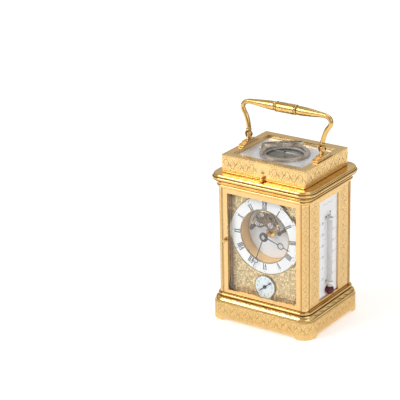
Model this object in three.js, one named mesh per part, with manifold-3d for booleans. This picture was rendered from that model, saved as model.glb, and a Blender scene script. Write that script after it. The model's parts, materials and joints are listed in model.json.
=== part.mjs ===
// Carriage clock with a repeat button, an alarm, a thermometer and a folding sundial with a compass.
// Millimetres. +X is the clock's right, -Y its front (the dial), +Z up. The origin is the middle of the
// face that the clock stands on.

import * as THREE from 'three';
import { mergeVertices } from 'three/addons/utils/BufferGeometryUtils.js';
import Module from 'manifold-3d';

const wasm = await Module();
wasm.setup();

// ---------------------------------------------------------------------------------------------------
// Driving dimensions
// ---------------------------------------------------------------------------------------------------

const GAP = 0.3;
const THROUGH = 1;

const body = { halfX: 44, halfY: 38, corner: 6, bottom: 24.3, top: 120.2 };
const plinth = { flare: 5.6, step: 0.3, wall: 8.4, height: 16.2, footRelief: 2.5, footLength: 13 };
const base = { bottom: 16.5, top: 24, floorBottom: 18.5, floorTop: 21.5 };
const cornice = { bottom: 120.5, top: 133, widest: 6.3, inset: 8 };
const box = { halfX: 41, halfY: 35, corner: 1, bottom: 133.3, top: 148.7, wall: 4, rim: 7.2, rimThick: 2.5 };
const post = { innerX: 38.5, innerY: 32, round: 4.5, groove: 0.5 };
const panel = { innerX: 40.4, outerX: 43.6, halfY: 31.7 };
const thermometer = {
  halfY: 15.5, bottom: 26.3, top: 115, plateBack: 40.9, plateFront: 41.9,
  axisX: 44.3, tube: 1.9, tubeTop: 99.3, bulb: 3.9, bulbZ: 31.3, clips: [38.5, 97],
};
const sideGlass = { halfY: 26, bottom: 29, top: 115.5, thick: 2 };

const door = {
  halfX: 38.2, front: 38, back: 34.2, bottom: 24.5, top: 120,
  openX: 34, openBottom: 27.4, openTop: 116,
  hingeX: 37, hingeY: 36.8, rod: 0.5, knobX: 36.3, knobZ: 73,
};
const doorGlass = { front: 37.4, back: 35.7, bevelWidth: 3, bevelDepth: 1 };

const dial = {
  centreZ: 82, maskHalfX: 36.2, maskBottom: 25.2, maskTop: 118.3, maskFront: 31.2, maskBack: 29.9,
  ringFront: 32.3, ringBack: 31.5, ringOuter: 33.8, ringInner: 23.7,
  wellOuter: 24.3, wellInner: 23.5, wellBack: 19.6, floorFront: 20.7, floorBack: 19.9,
};
const alarm = { centreZ: 36, radius: 10, angle: 50 };
const hands = {
  hourFront: 32.9, hourBack: 32.6, minuteFront: 33.9, minuteBack: 33.5, bossFront: 35.2, boss: 4.2,
  minuteAngle: 200, hourAngle: 108,
};

const escapement = {
  bridgeFront: 31.5, bridgeBack: 30.4, footX: 13.8, footZ: 87, footRadius: 1.7,
  balance: { x: 5.4, z: 92.9, radius: 6.5 },
  escape: { x: -7.6, z: 92.2, radius: 4 },
  lever: { x: -2.6, z: 101.3 },
};

const movement = {
  halfX: 31, bottom: 21.8, top: 116, frontPlate: -17.5, backPlate: 13.5, thick: 2,
  pillarX: 27, pillarLow: 27.5, pillarHigh: 110.5,
  barrelX: 15.5, barrelZ: 46, barrelRadius: 13, greatWheel: 14.8,
  centreWheel: 13, third: { x: -12.5, z: 73.2, wheel: 9, pinion: 1.8 },
  minute: { x: 12.4, z: 82, wheel: 7.4 }, hourWheel: 4.6,
};
const gong = { centreZ: 76, outer: 20, pitch: 2.6, turns: 2.6, wire: 1.2, y: 19 };
const hammer = { x: 28, z: 52, headZ: 76, headRadius: 2.2 };

const button = { z: 135.1, shaft: 1.1, head: 1.7, front: 38.4, headBack: 37.2, innerEnd: 28.6 };

const handle = {
  lean: 6, pivotX: 36.2, pivotZ: 157.3, gripZ: 185.6, arm: 2.1, grip: 4.4, ball: 3.5, slot: 0.9, lug: 0.6,
  pin: 0.9,
};

const sundial = {
  plateHalfX: 35.5, plateHalfY: 29.4, plateTop: 145.9, plateThick: 1.2, bowl: 16.4, bowlDepth: 2.7,
  ringOuter: 21.4, ringInner: 17.2, ringBottom: 146.2, ringTop: 148, needle: 15.4, needleZ: 147.2,
  hourOuter: 17.8, hourInner: 16.4, hourHeight: 2.8, hourCentre: [-1, -1], hinge: 131, tilt: 16,
};

// ---------------------------------------------------------------------------------------------------
// Materials
// ---------------------------------------------------------------------------------------------------

function finish(color, roughness, metalness) {
  return new THREE.MeshStandardMaterial({ color, roughness, metalness });
}

const gilt = finish(0xdba645, 0.28, 1);
const engravedGilt = finish(0xd4a04a, 0.45, 1);
const brass = finish(0xc79a45, 0.35, 1);
const silvered = finish(0xdcdedf, 0.3, 0.8);
const steel = finish(0x9a9a9c, 0.3, 1);
const bluedSteel = finish(0x1d2233, 0.25, 1);
const enamel = finish(0xf4f4f6, 0.2, 0);
const clearGlass = finish(0xe8f0f2, 0.05, 0);
const bulbGlass = finish(0x5c0c18, 0.1, 0);

// ---------------------------------------------------------------------------------------------------
// Solids
// ---------------------------------------------------------------------------------------------------

function signedVolume(xyz, faces) {
  const corner = (i) => new THREE.Vector3().fromArray(xyz, 3 * i);
  let volume = 0;
  for (let i = 0; i < faces.length; i += 3) {
    volume += corner(faces[i]).dot(corner(faces[i + 1]).cross(corner(faces[i + 2]))) / 6;
  }
  return volume;
}

// A closed three.js geometry as a solid whose faces point out.
function solid(geometry) {
  const bare = new THREE.BufferGeometry();
  bare.setAttribute('position', geometry.getAttribute('position'));
  bare.setIndex(geometry.index);
  const welded = mergeVertices(bare, 1e-4);
  const xyz = Float32Array.from(welded.getAttribute('position').array);
  const faces = [];
  for (let i = 0; i < welded.index.count; i += 3) {
    const [a, b, c] = [0, 1, 2].map((k) => welded.index.getX(i + k));
    if (a !== b && b !== c && c !== a) faces.push(a, b, c);
  }
  if (signedVolume(xyz, faces) < 0) faces.reverse();
  const mesh = new wasm.Mesh({ numProp: 3, vertProperties: xyz, triVerts: Uint32Array.from(faces) });
  return new wasm.Manifold(mesh);
}

function geometryOf(shape) {
  const mesh = shape.getMesh();
  const geometry = new THREE.BufferGeometry();
  geometry.setAttribute('position', new THREE.BufferAttribute(Float32Array.from(mesh.vertProperties), 3));
  geometry.setIndex(Array.from(mesh.triVerts));
  geometry.computeVertexNormals();
  return geometry;
}

function block(x0, x1, y0, y1, z0, z1) {
  const geometry = new THREE.BoxGeometry(x1 - x0, y1 - y0, z1 - z0);
  return solid(geometry.translate((x0 + x1) / 2, (y0 + y1) / 2, (z0 + z1) / 2));
}

// Turns a geometry made about +Y so that its axis lies along the named axis.
function along(axis, geometry) {
  if (axis === 'z') return geometry.rotateX(Math.PI / 2);
  if (axis === 'x') return geometry.rotateZ(-Math.PI / 2);
  return geometry;
}

// A round bar between two stations of an axis; centre gives the other two coordinates, in x, y, z order.
function rod(axis, radius, from, to, centre, sides = 20) {
  const geometry = new THREE.CylinderGeometry(radius, radius, to - from, sides);
  along(axis, geometry.translate(0, (from + to) / 2, 0));
  const [a, b] = centre;
  if (axis === 'x') return solid(geometry.translate(0, a, b));
  if (axis === 'y') return solid(geometry.translate(a, 0, b));
  return solid(geometry.translate(a, b, 0));
}

// A turned piece: the profile lists [radius, station] and starts and ends on the axis.
function turned(axis, profile, sides = 24) {
  const points = profile.map(([radius, station]) => new THREE.Vector2(radius, station));
  return solid(along(axis, new THREE.LatheGeometry(points, sides)));
}

// A turned ring: the profile lists [radius, station] and closes on itself.
function turnedRing(axis, profile, sides = 36) {
  return turned(axis, [...profile, profile[0]], sides);
}

// A flat piece whose outline is drawn in x and z, between two stations of y.
function slabXZ(shape, yFront, yBack, curveSegments = 8) {
  const depth = yBack - yFront;
  const geometry = new THREE.ExtrudeGeometry(shape, { depth, bevelEnabled: false, curveSegments });
  return solid(geometry.rotateX(Math.PI / 2).translate(0, yBack, 0));
}

// A flat piece whose outline is drawn in x and y, between two heights.
function slabXY(shape, z0, z1, curveSegments = 8) {
  const geometry = new THREE.ExtrudeGeometry(shape, { depth: z1 - z0, bevelEnabled: false, curveSegments });
  return solid(geometry.translate(0, 0, z0));
}

function roundedOutline(halfX, halfY, radius, stepsPerCorner) {
  const r = Math.max(radius, 0.2);
  const points = [];
  for (let quarter = 0; quarter < 4; quarter++) {
    const signX = quarter === 0 || quarter === 3 ? 1 : -1;
    const signY = quarter < 2 ? 1 : -1;
    for (let step = 0; step <= stepsPerCorner; step++) {
      const angle = (quarter + step / stepsPerCorner) * Math.PI / 2;
      points.push([
        signX * (halfX - r) + r * Math.cos(angle),
        signY * (halfY - r) + r * Math.sin(angle),
      ]);
    }
  }
  return points;
}

// A moulding run round a rectangle with rounded corners. The profile lists [offset outwards, height] and
// closes on itself.
function moulding({ halfX, halfY, corner }, profile, stepsPerCorner = 3) {
  const rings = profile.map(([offset, z]) => {
    const outline = roundedOutline(halfX + offset, halfY + offset, corner + offset, stepsPerCorner);
    return outline.map(([x, y]) => [x, y, z]);
  });
  const count = rings[0].length;
  const index = [];
  for (let ring = 0; ring < rings.length; ring++) {
    const here = ring * count;
    const next = ((ring + 1) % rings.length) * count;
    for (let i = 0; i < count; i++) {
      const j = (i + 1) % count;
      index.push(here + i, here + j, next + j, here + i, next + j, next + i);
    }
  }
  const geometry = new THREE.BufferGeometry();
  geometry.setAttribute('position', new THREE.Float32BufferAttribute(rings.flat(2), 3));
  geometry.setIndex(index);
  return solid(geometry);
}

function toothedWheel(teeth, tip, yFront, yBack, root = tip - 0.9) {
  const shape = new THREE.Shape();
  const pitch = 2 * Math.PI / teeth;
  for (let tooth = 0; tooth < teeth; tooth++) {
    for (const [radius, share] of [[root, 0], [tip, 0.3], [tip, 0.6]]) {
      const angle = (tooth + share) * pitch;
      const [x, z] = [radius * Math.cos(angle), radius * Math.sin(angle)];
      if (tooth === 0 && share === 0) shape.moveTo(x, z);
      else shape.lineTo(x, z);
    }
  }
  shape.closePath();
  return slabXZ(shape, yFront, yBack);
}

function polygon(points) {
  return new THREE.Shape(points.map(([x, y]) => new THREE.Vector2(x, y)));
}

function disc(radius, x = 0, z = 0) {
  const shape = new THREE.Shape();
  shape.absarc(x, z, radius, 0, 2 * Math.PI);
  return shape;
}

function ringShape(outer, inner, x = 0, z = 0, innerShift = 0) {
  const shape = disc(outer, x, z);
  const hole = new THREE.Path();
  hole.absarc(x, z + innerShift, inner, 0, 2 * Math.PI, true);
  shape.holes.push(hole);
  return shape;
}

const clock = new THREE.Group();

function place(name, shape, material, position = [0, 0, 0], rotation = [0, 0, 0], parent = clock) {
  const mesh = new THREE.Mesh(geometryOf(shape), material);
  mesh.name = name;
  mesh.position.set(...position);
  mesh.rotation.set(...rotation);
  parent.add(mesh);
}

const radians = THREE.MathUtils.degToRad;
const sides = { left: -1, right: 1 };

// ---------------------------------------------------------------------------------------------------
// Case
// ---------------------------------------------------------------------------------------------------

// The two door hinge rods stand in the base and the cornice: front right and rear left.
const hingeRods = [
  [door.hingeX, -door.hingeY],
  [-door.hingeX, door.hingeY],
];

function boreForHingeRods(shape, z0, z1) {
  return hingeRods.reduce((rest, at) => rest.subtract(rod('z', door.rod + GAP, z0, z1, at, 12)), shape);
}

// The relief between two bracket feet: flat, with a quarter round at each end.
function footRelief(halfLength) {
  const { footRelief: rise } = plinth;
  const shape = new THREE.Shape();
  shape.moveTo(-halfLength, -THROUGH);
  shape.lineTo(halfLength, -THROUGH);
  shape.lineTo(halfLength, 0);
  shape.quadraticCurveTo(halfLength, rise, halfLength - 2 * rise, rise);
  shape.lineTo(2 * rise - halfLength, rise);
  shape.quadraticCurveTo(-halfLength, rise, -halfLength, 0);
  shape.closePath();
  return shape;
}

function basePlinth() {
  const { flare, step, wall, height, footLength } = plinth;
  const ring = moulding(body, [
    [flare + step, 0], [flare + step, 5], [flare, 5.8], [flare, height], [flare - wall, height],
    [flare - wall, 0],
  ]);
  const halfX = body.halfX + flare;
  const halfY = body.halfY + flare;
  const acrossY = halfY + THROUGH;
  const acrossX = halfX + THROUGH;
  const frontAndBack = slabXZ(footRelief(halfX - footLength), -acrossY, acrossY, 4);
  const bothSides = slabXZ(footRelief(halfY - footLength), -acrossX, acrossX, 4).rotate([0, 0, 90]);
  return ring.subtract(frontAndBack).subtract(bothSides);
}

function baseMoulding() {
  const inner = -6;
  const ring = moulding(body, [
    [5.2, base.bottom], [5.2, 17.2], [4.8, 18.1], [4.1, 19.1], [3.2, 20], [2.2, 20.6],
    [1.6, 20.9], [1.6, 21.3], [2.3, 21.6], [2.5, 22.4], [2.2, 23.3], [1.4, base.top],
    [inner, base.top], [inner, base.bottom],
  ]);
  const lap = 1;
  const floorX = body.halfX + inner + lap;
  const floorY = body.halfY + inner + lap;
  const floor = block(-floorX, floorX, -floorY, floorY, base.floorBottom, base.floorTop);
  return boreForHingeRods(ring.add(floor), base.top - 2, base.top + THROUGH);
}

function corniceRing() {
  const ring = moulding(body, [
    [1, cornice.bottom], [2, 121], [2.4, 122], [2.1, 123], [1.8, 123.4],
    [1.8, 124], [2.3, 124.8], [3.2, 125.8], [4.4, 126.9], [5.7, 127.8],
    [cornice.widest, 128.3], [cornice.widest, 130.4], [5.8, 131], [5.2, 131.2],
    [5.1, 132], [4.4, 132.3], [4.3, 132.8], [3.8, cornice.top],
    [-cornice.inset, cornice.top], [-cornice.inset, cornice.bottom],
  ]);
  return boreForHingeRods(ring, cornice.bottom - THROUGH, cornice.bottom + 2);
}

function upperBox() {
  const { wall, rim, rimThick, bottom, top } = box;
  const shell = moulding(box, [
    [0, bottom], [0, top], [-rim, top], [-rim, top - rimThick], [-wall, top - rimThick], [-wall, bottom],
  ], 2);
  const outside = -box.halfY - THROUGH;
  const inside = wall - box.halfY + THROUGH;
  return shell.subtract(rod('y', button.shaft + GAP, outside, inside, [0, button.z], 14));
}

// A corner post in plan: a square whose outer corner is rounded between two narrow grooves.
function cornerPost(signX, signY) {
  const { innerX, innerY, round, groove } = post;
  const [outerX, outerY] = [body.halfX, body.halfY];
  const plan = new THREE.Shape();
  plan.moveTo(innerX, innerY);
  plan.lineTo(outerX, innerY);
  plan.lineTo(outerX, outerY - round - 0.9);
  plan.lineTo(outerX - groove, outerY - round - 0.9);
  plan.lineTo(outerX - groove, outerY - round);
  plan.lineTo(outerX, outerY - round);
  plan.absarc(outerX - round, outerY - round, round, 0, Math.PI / 2);
  plan.lineTo(outerX - round, outerY - groove);
  plan.lineTo(innerX + 0.5, outerY - groove);
  plan.lineTo(innerX + 0.5, outerY);
  plan.lineTo(innerX, outerY);
  plan.closePath();
  const geometry = new THREE.ExtrudeGeometry(plan, {
    depth: body.top - body.bottom, bevelEnabled: false, curveSegments: 5,
  });
  return solid(geometry.translate(0, 0, body.bottom).scale(signX, signY, 1));
}

function sidePanel(sign, halfY, bottom, top) {
  const [near, far] = [sign * panel.innerX, sign * panel.outerX].sort((a, b) => a - b);
  return block(near, far, -panel.halfY, panel.halfY, body.bottom, body.top)
    .subtract(block(near - THROUGH, far + THROUGH, -halfY, halfY, bottom, top));
}

place('base_plinth', basePlinth(), engravedGilt);
place('base_moulding', baseMoulding(), gilt);
for (const [side, signX] of Object.entries(sides)) {
  place(`corner_post_front_${side}`, cornerPost(signX, -1), engravedGilt);
  place(`corner_post_rear_${side}`, cornerPost(signX, 1), engravedGilt);
}
place('cornice', corniceRing(), gilt);
place('upper_box', upperBox(), engravedGilt);

const therm = thermometer;
place('right_side_panel', sidePanel(1, therm.halfY + GAP, therm.bottom - GAP, therm.top + GAP), engravedGilt);
place('left_side_panel', sidePanel(-1, sideGlass.halfY, sideGlass.bottom, sideGlass.top), engravedGilt);

function leftSideGlass() {
  const { halfY, bottom, top, thick } = sideGlass;
  const outside = -panel.outerX + 0.6;
  return block(outside, outside + thick, GAP - halfY, halfY - GAP, bottom + GAP, top - GAP);
}

place('left_side_glass', leftSideGlass(), clearGlass);

// ---------------------------------------------------------------------------------------------------
// Thermometer
// ---------------------------------------------------------------------------------------------------

function thermometerPlate() {
  const { halfY, bottom, top, plateBack, plateFront, bulb, bulbZ } = therm;
  const hole = rod('x', bulb + 0.5, plateBack - THROUGH, plateFront + THROUGH, [0, bulbZ]);
  return block(plateBack, plateFront, -halfY, halfY, bottom, top).subtract(hole);
}

function thermometerTube() {
  const { bulb, bulbZ, tube, tubeTop } = therm;
  const profile = [];
  const neck = Math.PI - Math.asin(tube / bulb);
  for (let step = 0; step <= 8; step++) {
    const angle = neck * step / 8;
    profile.push([bulb * Math.sin(angle), bulbZ - bulb * Math.cos(angle)]);
  }
  profile.push([tube, tubeTop - tube], [0.7 * tube, tubeTop - 0.3 * tube], [0, tubeTop]);
  return turned('z', profile, 16);
}

// A clip: a strap bowed over the tube, with a foot on the plate at each side.
function thermometerClip(z) {
  const { plateFront, axisX, tube } = therm;
  const foot = plateFront + GAP;
  const inner = tube + GAP;
  const strap = 0.5;
  const outer = inner + strap;
  const plan = new THREE.Shape();
  plan.moveTo(foot, -outer - 2);
  plan.lineTo(foot + strap, -outer - 2);
  plan.lineTo(foot + strap, -outer);
  plan.lineTo(axisX, -outer);
  plan.absarc(axisX, 0, outer, -Math.PI / 2, Math.PI / 2);
  plan.lineTo(foot + strap, outer);
  plan.lineTo(foot + strap, outer + 2);
  plan.lineTo(foot, outer + 2);
  plan.lineTo(foot, inner);
  plan.lineTo(axisX, inner);
  plan.absarc(axisX, 0, inner, Math.PI / 2, -Math.PI / 2, true);
  plan.lineTo(foot, -inner);
  plan.closePath();
  return slabXY(plan, z - 0.7, z + 0.7, 8);
}

place('thermometer_plate', thermometerPlate(), enamel);
place('thermometer_tube', thermometerTube(), bulbGlass, [therm.axisX, 0, 0]);
place('thermometer_clip_lower', thermometerClip(therm.clips[0]), gilt);
place('thermometer_clip_upper', thermometerClip(therm.clips[1]), gilt);

// ---------------------------------------------------------------------------------------------------
// Doors: drawn as the front door, and turned half a turn about Z for the rear one
// ---------------------------------------------------------------------------------------------------

// The stile's front corner is rounded about the hinge rod, so it turns clear of the post.
function doorFrame() {
  const round = door.front - door.hingeY;
  const plan = new THREE.Shape();
  plan.moveTo(-door.halfX, -door.front);
  plan.lineTo(door.hingeX, -door.front);
  plan.absarc(door.hingeX, -door.hingeY, round, -Math.PI / 2, 0);
  plan.lineTo(door.halfX, -door.back);
  plan.lineTo(-door.halfX, -door.back);
  plan.closePath();
  const yNear = -door.front - THROUGH;
  const yFar = THROUGH - door.back;
  return slabXY(plan, door.bottom, door.top, 4)
    .subtract(block(-door.openX, door.openX, yNear, yFar, door.openBottom, door.openTop))
    .subtract(rod('z', door.rod + GAP, door.bottom - THROUGH, door.top + THROUGH, hingeRods[0], 12))
    .subtract(rod('y', 1, yNear, yFar, [-door.knobX, door.knobZ], 12));
}

// Bevelled glass: the front face is smaller than the back one by the bevel.
function glassPane() {
  const halfX = door.openX - GAP;
  const [bottom, top] = [door.openBottom + GAP, door.openTop - GAP];
  const { front, back, bevelWidth, bevelDepth } = doorGlass;
  const outline = (inset, y) => [
    [inset - halfX, y, bottom + inset],
    [halfX - inset, y, bottom + inset],
    [halfX - inset, y, top - inset],
    [inset - halfX, y, top - inset],
  ];
  const corners = [outline(bevelWidth, -front), outline(0, bevelDepth - front), outline(0, -back)].flat();
  const index = [0, 1, 2, 0, 2, 3, 10, 9, 8, 11, 10, 8];
  for (const ring of [0, 4]) {
    for (let i = 0; i < 4; i++) {
      const j = (i + 1) % 4;
      index.push(ring + 4 + i, ring + 4 + j, ring + j, ring + 4 + i, ring + j, ring + i);
    }
  }
  const geometry = new THREE.BufferGeometry();
  geometry.setAttribute('position', new THREE.Float32BufferAttribute(corners.flat(), 3));
  geometry.setIndex(index);
  return solid(geometry);
}

// The knob turns a small cam behind the stile.
function doorKnob() {
  const stem = 0.7;
  const camFront = GAP - door.back;
  const knob = turned('y', [
    [0, -41.4], [1.2, -41.2], [1.9, -40.5], [1.9, -39.9], [1.1, -39.3], [0.9, -38.9], [1.5, -38.6],
    [1.5, -38.3], [stem, -38.3], [stem, camFront + 0.5], [0, camFront + 0.5],
  ], 12);
  return knob.add(block(-1.7, 0.9, camFront, camFront + 0.9, -0.9, 0.9));
}

for (const [side, turn] of [['front', 0], ['rear', Math.PI]]) {
  const hung = new THREE.Group();
  hung.rotation.z = turn;
  place(`${side}_door_frame`, doorFrame(), gilt, [0, 0, 0], [0, 0, 0], hung);
  place(`${side}_door_glass`, glassPane(), clearGlass, [0, 0, 0], [0, 0, 0], hung);
  place(`${side}_door_knob`, doorKnob(), gilt, [-door.knobX, 0, door.knobZ], [0, 0, 0], hung);
  const hingeRod = rod('z', door.rod, base.top - 1.7, cornice.bottom + 1.7, hingeRods[0], 12);
  place(`${side}_door_hinge_rod`, hingeRod, steel, [0, 0, 0], [0, 0, 0], hung);
  clock.add(hung);
}

// ---------------------------------------------------------------------------------------------------
// Dial
// ---------------------------------------------------------------------------------------------------

function dialMask() {
  const { maskHalfX, maskBottom, maskTop, maskFront, maskBack, centreZ, wellOuter } = dial;
  return block(-maskHalfX, maskHalfX, -maskFront, -maskBack, maskBottom, maskTop)
    .subtract(rod('y', wellOuter + GAP, -maskFront - THROUGH, THROUGH - maskBack, [0, centreZ], 36))
    .subtract(rod('y', 0.9, -maskFront - THROUGH, THROUGH - maskBack, [0, alarm.centreZ], 10));
}

const onDial = [0, 0, dial.centreZ];
place('dial_mask', dialMask(), engravedGilt);
place('chapter_ring', turnedRing('y', [
  [dial.ringInner, -dial.ringFront], [dial.ringOuter, -dial.ringFront],
  [dial.ringOuter, -dial.ringBack], [dial.ringInner, -dial.ringBack],
]), enamel, onDial);
place('dial_well', turnedRing('y', [
  [dial.wellInner, -dial.maskFront], [dial.wellOuter, -dial.maskFront],
  [dial.wellOuter, -dial.wellBack], [dial.wellInner, -dial.wellBack],
]), gilt, onDial);
place('dial_floor', turnedRing('y', [
  [2.4, -dial.floorFront], [dial.wellInner - GAP, -dial.floorFront],
  [dial.wellInner - GAP, -dial.floorBack], [2.4, -dial.floorBack],
], 40), silvered, onDial);
place('alarm_dial', turnedRing('y', [
  [0.9, -dial.ringFront], [alarm.radius, -dial.ringFront],
  [alarm.radius, -dial.ringBack], [0.9, -dial.ringBack],
], 32), enamel, [0, 0, alarm.centreZ]);

// A hand drawn pointing up: a shaft, an eccentric moon and a tip beyond it.
function moonHand({ front, back, hub, moonAt, moon, moonHole, length, width }) {
  const shaft = polygon([
    [-width, 0], [width, 0], [0.6 * width, moonAt - moon + 0.3], [-0.6 * width, moonAt - moon + 0.3],
  ]);
  const tip = polygon([
    [-0.7 * width, moonAt + moon - 0.3], [0.7 * width, moonAt + moon - 0.3], [0.12, length], [-0.12, length],
  ]);
  const moonRing = ringShape(moon, moonHole, 0, moonAt, 0.15);
  return [shaft, tip, moonRing, disc(hub)]
    .map((shape) => slabXZ(shape, -front, -back, 9))
    .reduce((whole, piece) => whole.add(piece));
}

function minuteHand() {
  const { minuteFront: front, minuteBack: back, boss, bossFront } = hands;
  const hand = moonHand({
    front, back, hub: 2, moonAt: 24.2, moon: 2.6, moonHole: 2, length: 32.4, width: 0.45,
  });
  const dome = turned('y', [
    [0, -bossFront], [2, 0.2 - bossFront], [3.6, 0.7 - bossFront], [boss, -front], [boss, -back], [0, -back],
  ], 20);
  return hand.add(dome).subtract(rod('y', 0.9, -front + 0.1, THROUGH - back, [0, 0], 10));
}

// The hour hand rides on its pipe, with the collar in front of the floor and the hour wheel behind it.
function hourHand() {
  const { hourFront: front, hourBack: back } = hands;
  const hand = moonHand({
    front, back, hub: 2.9, moonAt: 16.8, moon: 3, moonHole: 2.3, length: 26, width: 0.5,
  });
  const pipe = rod('y', 1.9, -front, -18.3, [0, 0], 14);
  const collar = rod('y', 4.2, -24, -21.1, [0, 0], 20);
  const wheel = toothedWheel(18, movement.hourWheel, -19.3, -18.5);
  return hand.add(pipe).add(collar).add(wheel).subtract(rod('y', 1.2, -front - THROUGH, -17, [0, 0], 12));
}

function alarmHand() {
  const front = dial.ringFront + 0.7;
  const back = dial.ringFront + GAP;
  const hand = moonHand({
    front, back, hub: 1, moonAt: 6.4, moon: 1, moonHole: 0.6, length: 8.4, width: 0.3,
  });
  const tail = slabXZ(polygon([[-0.25, 0], [-0.12, -8.2], [0.12, -8.2], [0.25, 0]]), -front, -back);
  return hand.add(tail).add(rod('y', 0.6, -front - 0.4, -28, [0, 0], 10));
}

// ---------------------------------------------------------------------------------------------------
// Escapement, in front of the floor
// ---------------------------------------------------------------------------------------------------

// Fan-shaped cock with two curled feet, each on its own stud.
function escapementBridge() {
  const { bridgeFront, bridgeBack, footX, footZ, footRadius } = escapement;
  const half = [[0, 91.4], [3.2, 89.2], [7.4, 88.9], [10.6, 91.4], [12.2, 86.2], [14.9, 85.6], [15.7, 87.6],
    [12.8, 94], [8, 101.6], [2.6, 104.4]];
  const mirrored = half.slice(1).reverse().map(([x, z]) => [-x, z]);
  let bridge = slabXZ(polygon([...half, ...mirrored]), -bridgeFront, -bridgeBack);
  for (const x of [-footX, footX]) {
    bridge = bridge
      .add(rod('y', footRadius, -bridgeFront, -dial.floorFront - GAP, [x, footZ], 12))
      .subtract(rod('y', 1, -bridgeFront - THROUGH, 4 - bridgeFront, [x, footZ], 10));
  }
  return bridge;
}

function bridgeScrew() {
  const headBack = -escapement.bridgeFront - GAP;
  const shank = rod('y', 0.7, headBack - 0.1, headBack + 3.5, [0, 0], 8);
  return rod('y', 1.4, headBack - 0.4, headBack, [0, 0], 12).add(shank);
}

// A staff between the cock and the dial floor.
function staff(radius) {
  return rod('y', radius, GAP - escapement.bridgeBack, -dial.floorFront - GAP, [0, 0], 8);
}

function balanceWheel() {
  const { radius } = escapement.balance;
  const bore = radius - 0.9;
  const rim = turnedRing('y', [[bore, -29.2], [radius, -29.2], [radius, -28.4], [bore, -28.4]], 28);
  const arms = block(0.3 - radius, radius - 0.3, -29, -28.6, -0.4, 0.4);
  const roller = rod('y', 1.3, -28.7, -27.2, [0, 0], 12);
  return rim.add(arms).add(roller).add(staff(0.45));
}

function escapeWheel() {
  const { radius } = escapement.escape;
  return toothedWheel(15, radius, -26.4, -25.7, radius - 1.2).add(staff(0.4));
}

// The lever rocks on its own staff, with two pallet arms over the escape wheel and a fork by the balance.
function palletLever() {
  const { lever, escape, balance } = escapement;
  const reach = (to, length) => {
    const direction = new THREE.Vector2(to.x - lever.x, to.z - lever.z).normalize();
    const across = new THREE.Vector2(-direction.y, direction.x).multiplyScalar(0.45);
    const end = direction.clone().multiplyScalar(length);
    return polygon([[across.x, across.y], [-across.x, -across.y], [end.x - across.x, end.y - across.y],
      [end.x + across.x, end.y + across.y]]);
  };
  const toBalance = Math.hypot(balance.x - lever.x, balance.z - lever.z);
  const palletReach = escape.radius + 1.8;
  const pallets = [
    { x: escape.x - palletReach, z: escape.z + 2.8 },
    { x: escape.x + palletReach, z: escape.z + 2.8 },
  ];
  const arms = [
    reach(balance, toBalance - 2.2),
    ...pallets.map((tip) => reach(tip, Math.hypot(tip.x - lever.x, tip.z - lever.z))),
  ];
  return arms
    .map((shape) => slabXZ(shape, -26.4, -25.7))
    .reduce((whole, arm) => whole.add(arm), staff(0.45));
}

const dialArbor = [0, 0, dial.centreZ];
place('minute_hand', minuteHand(), bluedSteel, dialArbor, [0, radians(hands.minuteAngle), 0]);
place('hour_hand', hourHand(), bluedSteel, dialArbor, [0, radians(hands.hourAngle), 0]);
place('alarm_hand', alarmHand(), bluedSteel, [0, 0, alarm.centreZ], [0, radians(alarm.angle), 0]);
place('escapement_bridge', escapementBridge(), gilt);
for (const [side, sign] of Object.entries(sides)) {
  place(`bridge_screw_${side}`, bridgeScrew(), bluedSteel, [sign * escapement.footX, 0, escapement.footZ]);
}
place('balance_wheel', balanceWheel(), brass, [escapement.balance.x, 0, escapement.balance.z]);
place('escape_wheel', escapeWheel(), steel, [escapement.escape.x, 0, escapement.escape.z]);
place('pallet_lever', palletLever(), steel, [escapement.lever.x, 0, escapement.lever.z]);

// ---------------------------------------------------------------------------------------------------
// Movement
// ---------------------------------------------------------------------------------------------------

const { third, minute } = movement;
const barrelAt = (sign) => [sign * movement.barrelX, movement.barrelZ];

function plate(y, holes) {
  const { halfX, bottom, top, thick } = movement;
  const bores = holes.map(([radius, x, z]) =>
    rod('y', radius + GAP, y - THROUGH, y + thick + THROUGH, [x, z], 12));
  return bores.reduce((rest, bore) => rest.subtract(bore), block(-halfX, halfX, y, y + thick, bottom, top));
}

function frontPlate() {
  return plate(movement.frontPlate, [
    [0.9, 0, dial.centreZ], [0.9, third.x, third.z], [0.9, minute.x, minute.z],
    [1.8, ...barrelAt(-1)], [1.8, ...barrelAt(1)],
  ]);
}

function backPlate() {
  const stud = rod('y', 0.8, movement.backPlate + 1, movement.backPlate + 6, [hammer.x, hammer.z], 10);
  return plate(movement.backPlate, [
    [0.9, 0, dial.centreZ], [0.9, third.x, third.z], [1.8, ...barrelAt(-1)], [1.8, ...barrelAt(1)],
  ]).add(stud);
}

// Arbors run through both plates.
const arborFront = movement.frontPlate + 0.4;
const arborBack = movement.backPlate + movement.thick - 0.4;

function pillar() {
  const front = movement.frontPlate + movement.thick + GAP;
  const back = movement.backPlate - GAP;
  return turned('y', [
    [0, front], [3, front], [3, front + 2], [2, front + 3],
    [2, back - 3], [3, back - 2], [3, back], [0, back],
  ], 16);
}

// A barrel with its great wheel; the arbor ends in a winding square behind the back plate.
function barrel() {
  const { barrelRadius, greatWheel } = movement;
  const drum = turned('y', [
    [0, -7], [barrelRadius - 1, -7], [barrelRadius, -6], [barrelRadius, 7.1], [0, 7.1],
  ], 28);
  const square = block(-1.4, 1.4, arborBack - 0.1, arborBack + 7, -1.4, 1.4);
  return drum
    .add(toothedWheel(40, greatWheel, 7, 8.4))
    .add(rod('y', 1.8, arborFront, arborBack, [0, 0], 12))
    .add(square);
}

function centreWheel() {
  const arborEnd = 0.2 - hands.minuteFront;
  return toothedWheel(40, movement.centreWheel, -6, -4.8)
    .add(toothedWheel(10, 2.4, 4, 9, 1.6))
    .add(rod('y', 0.6, arborEnd, arborBack, [0, 0], 10));
}

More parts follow.
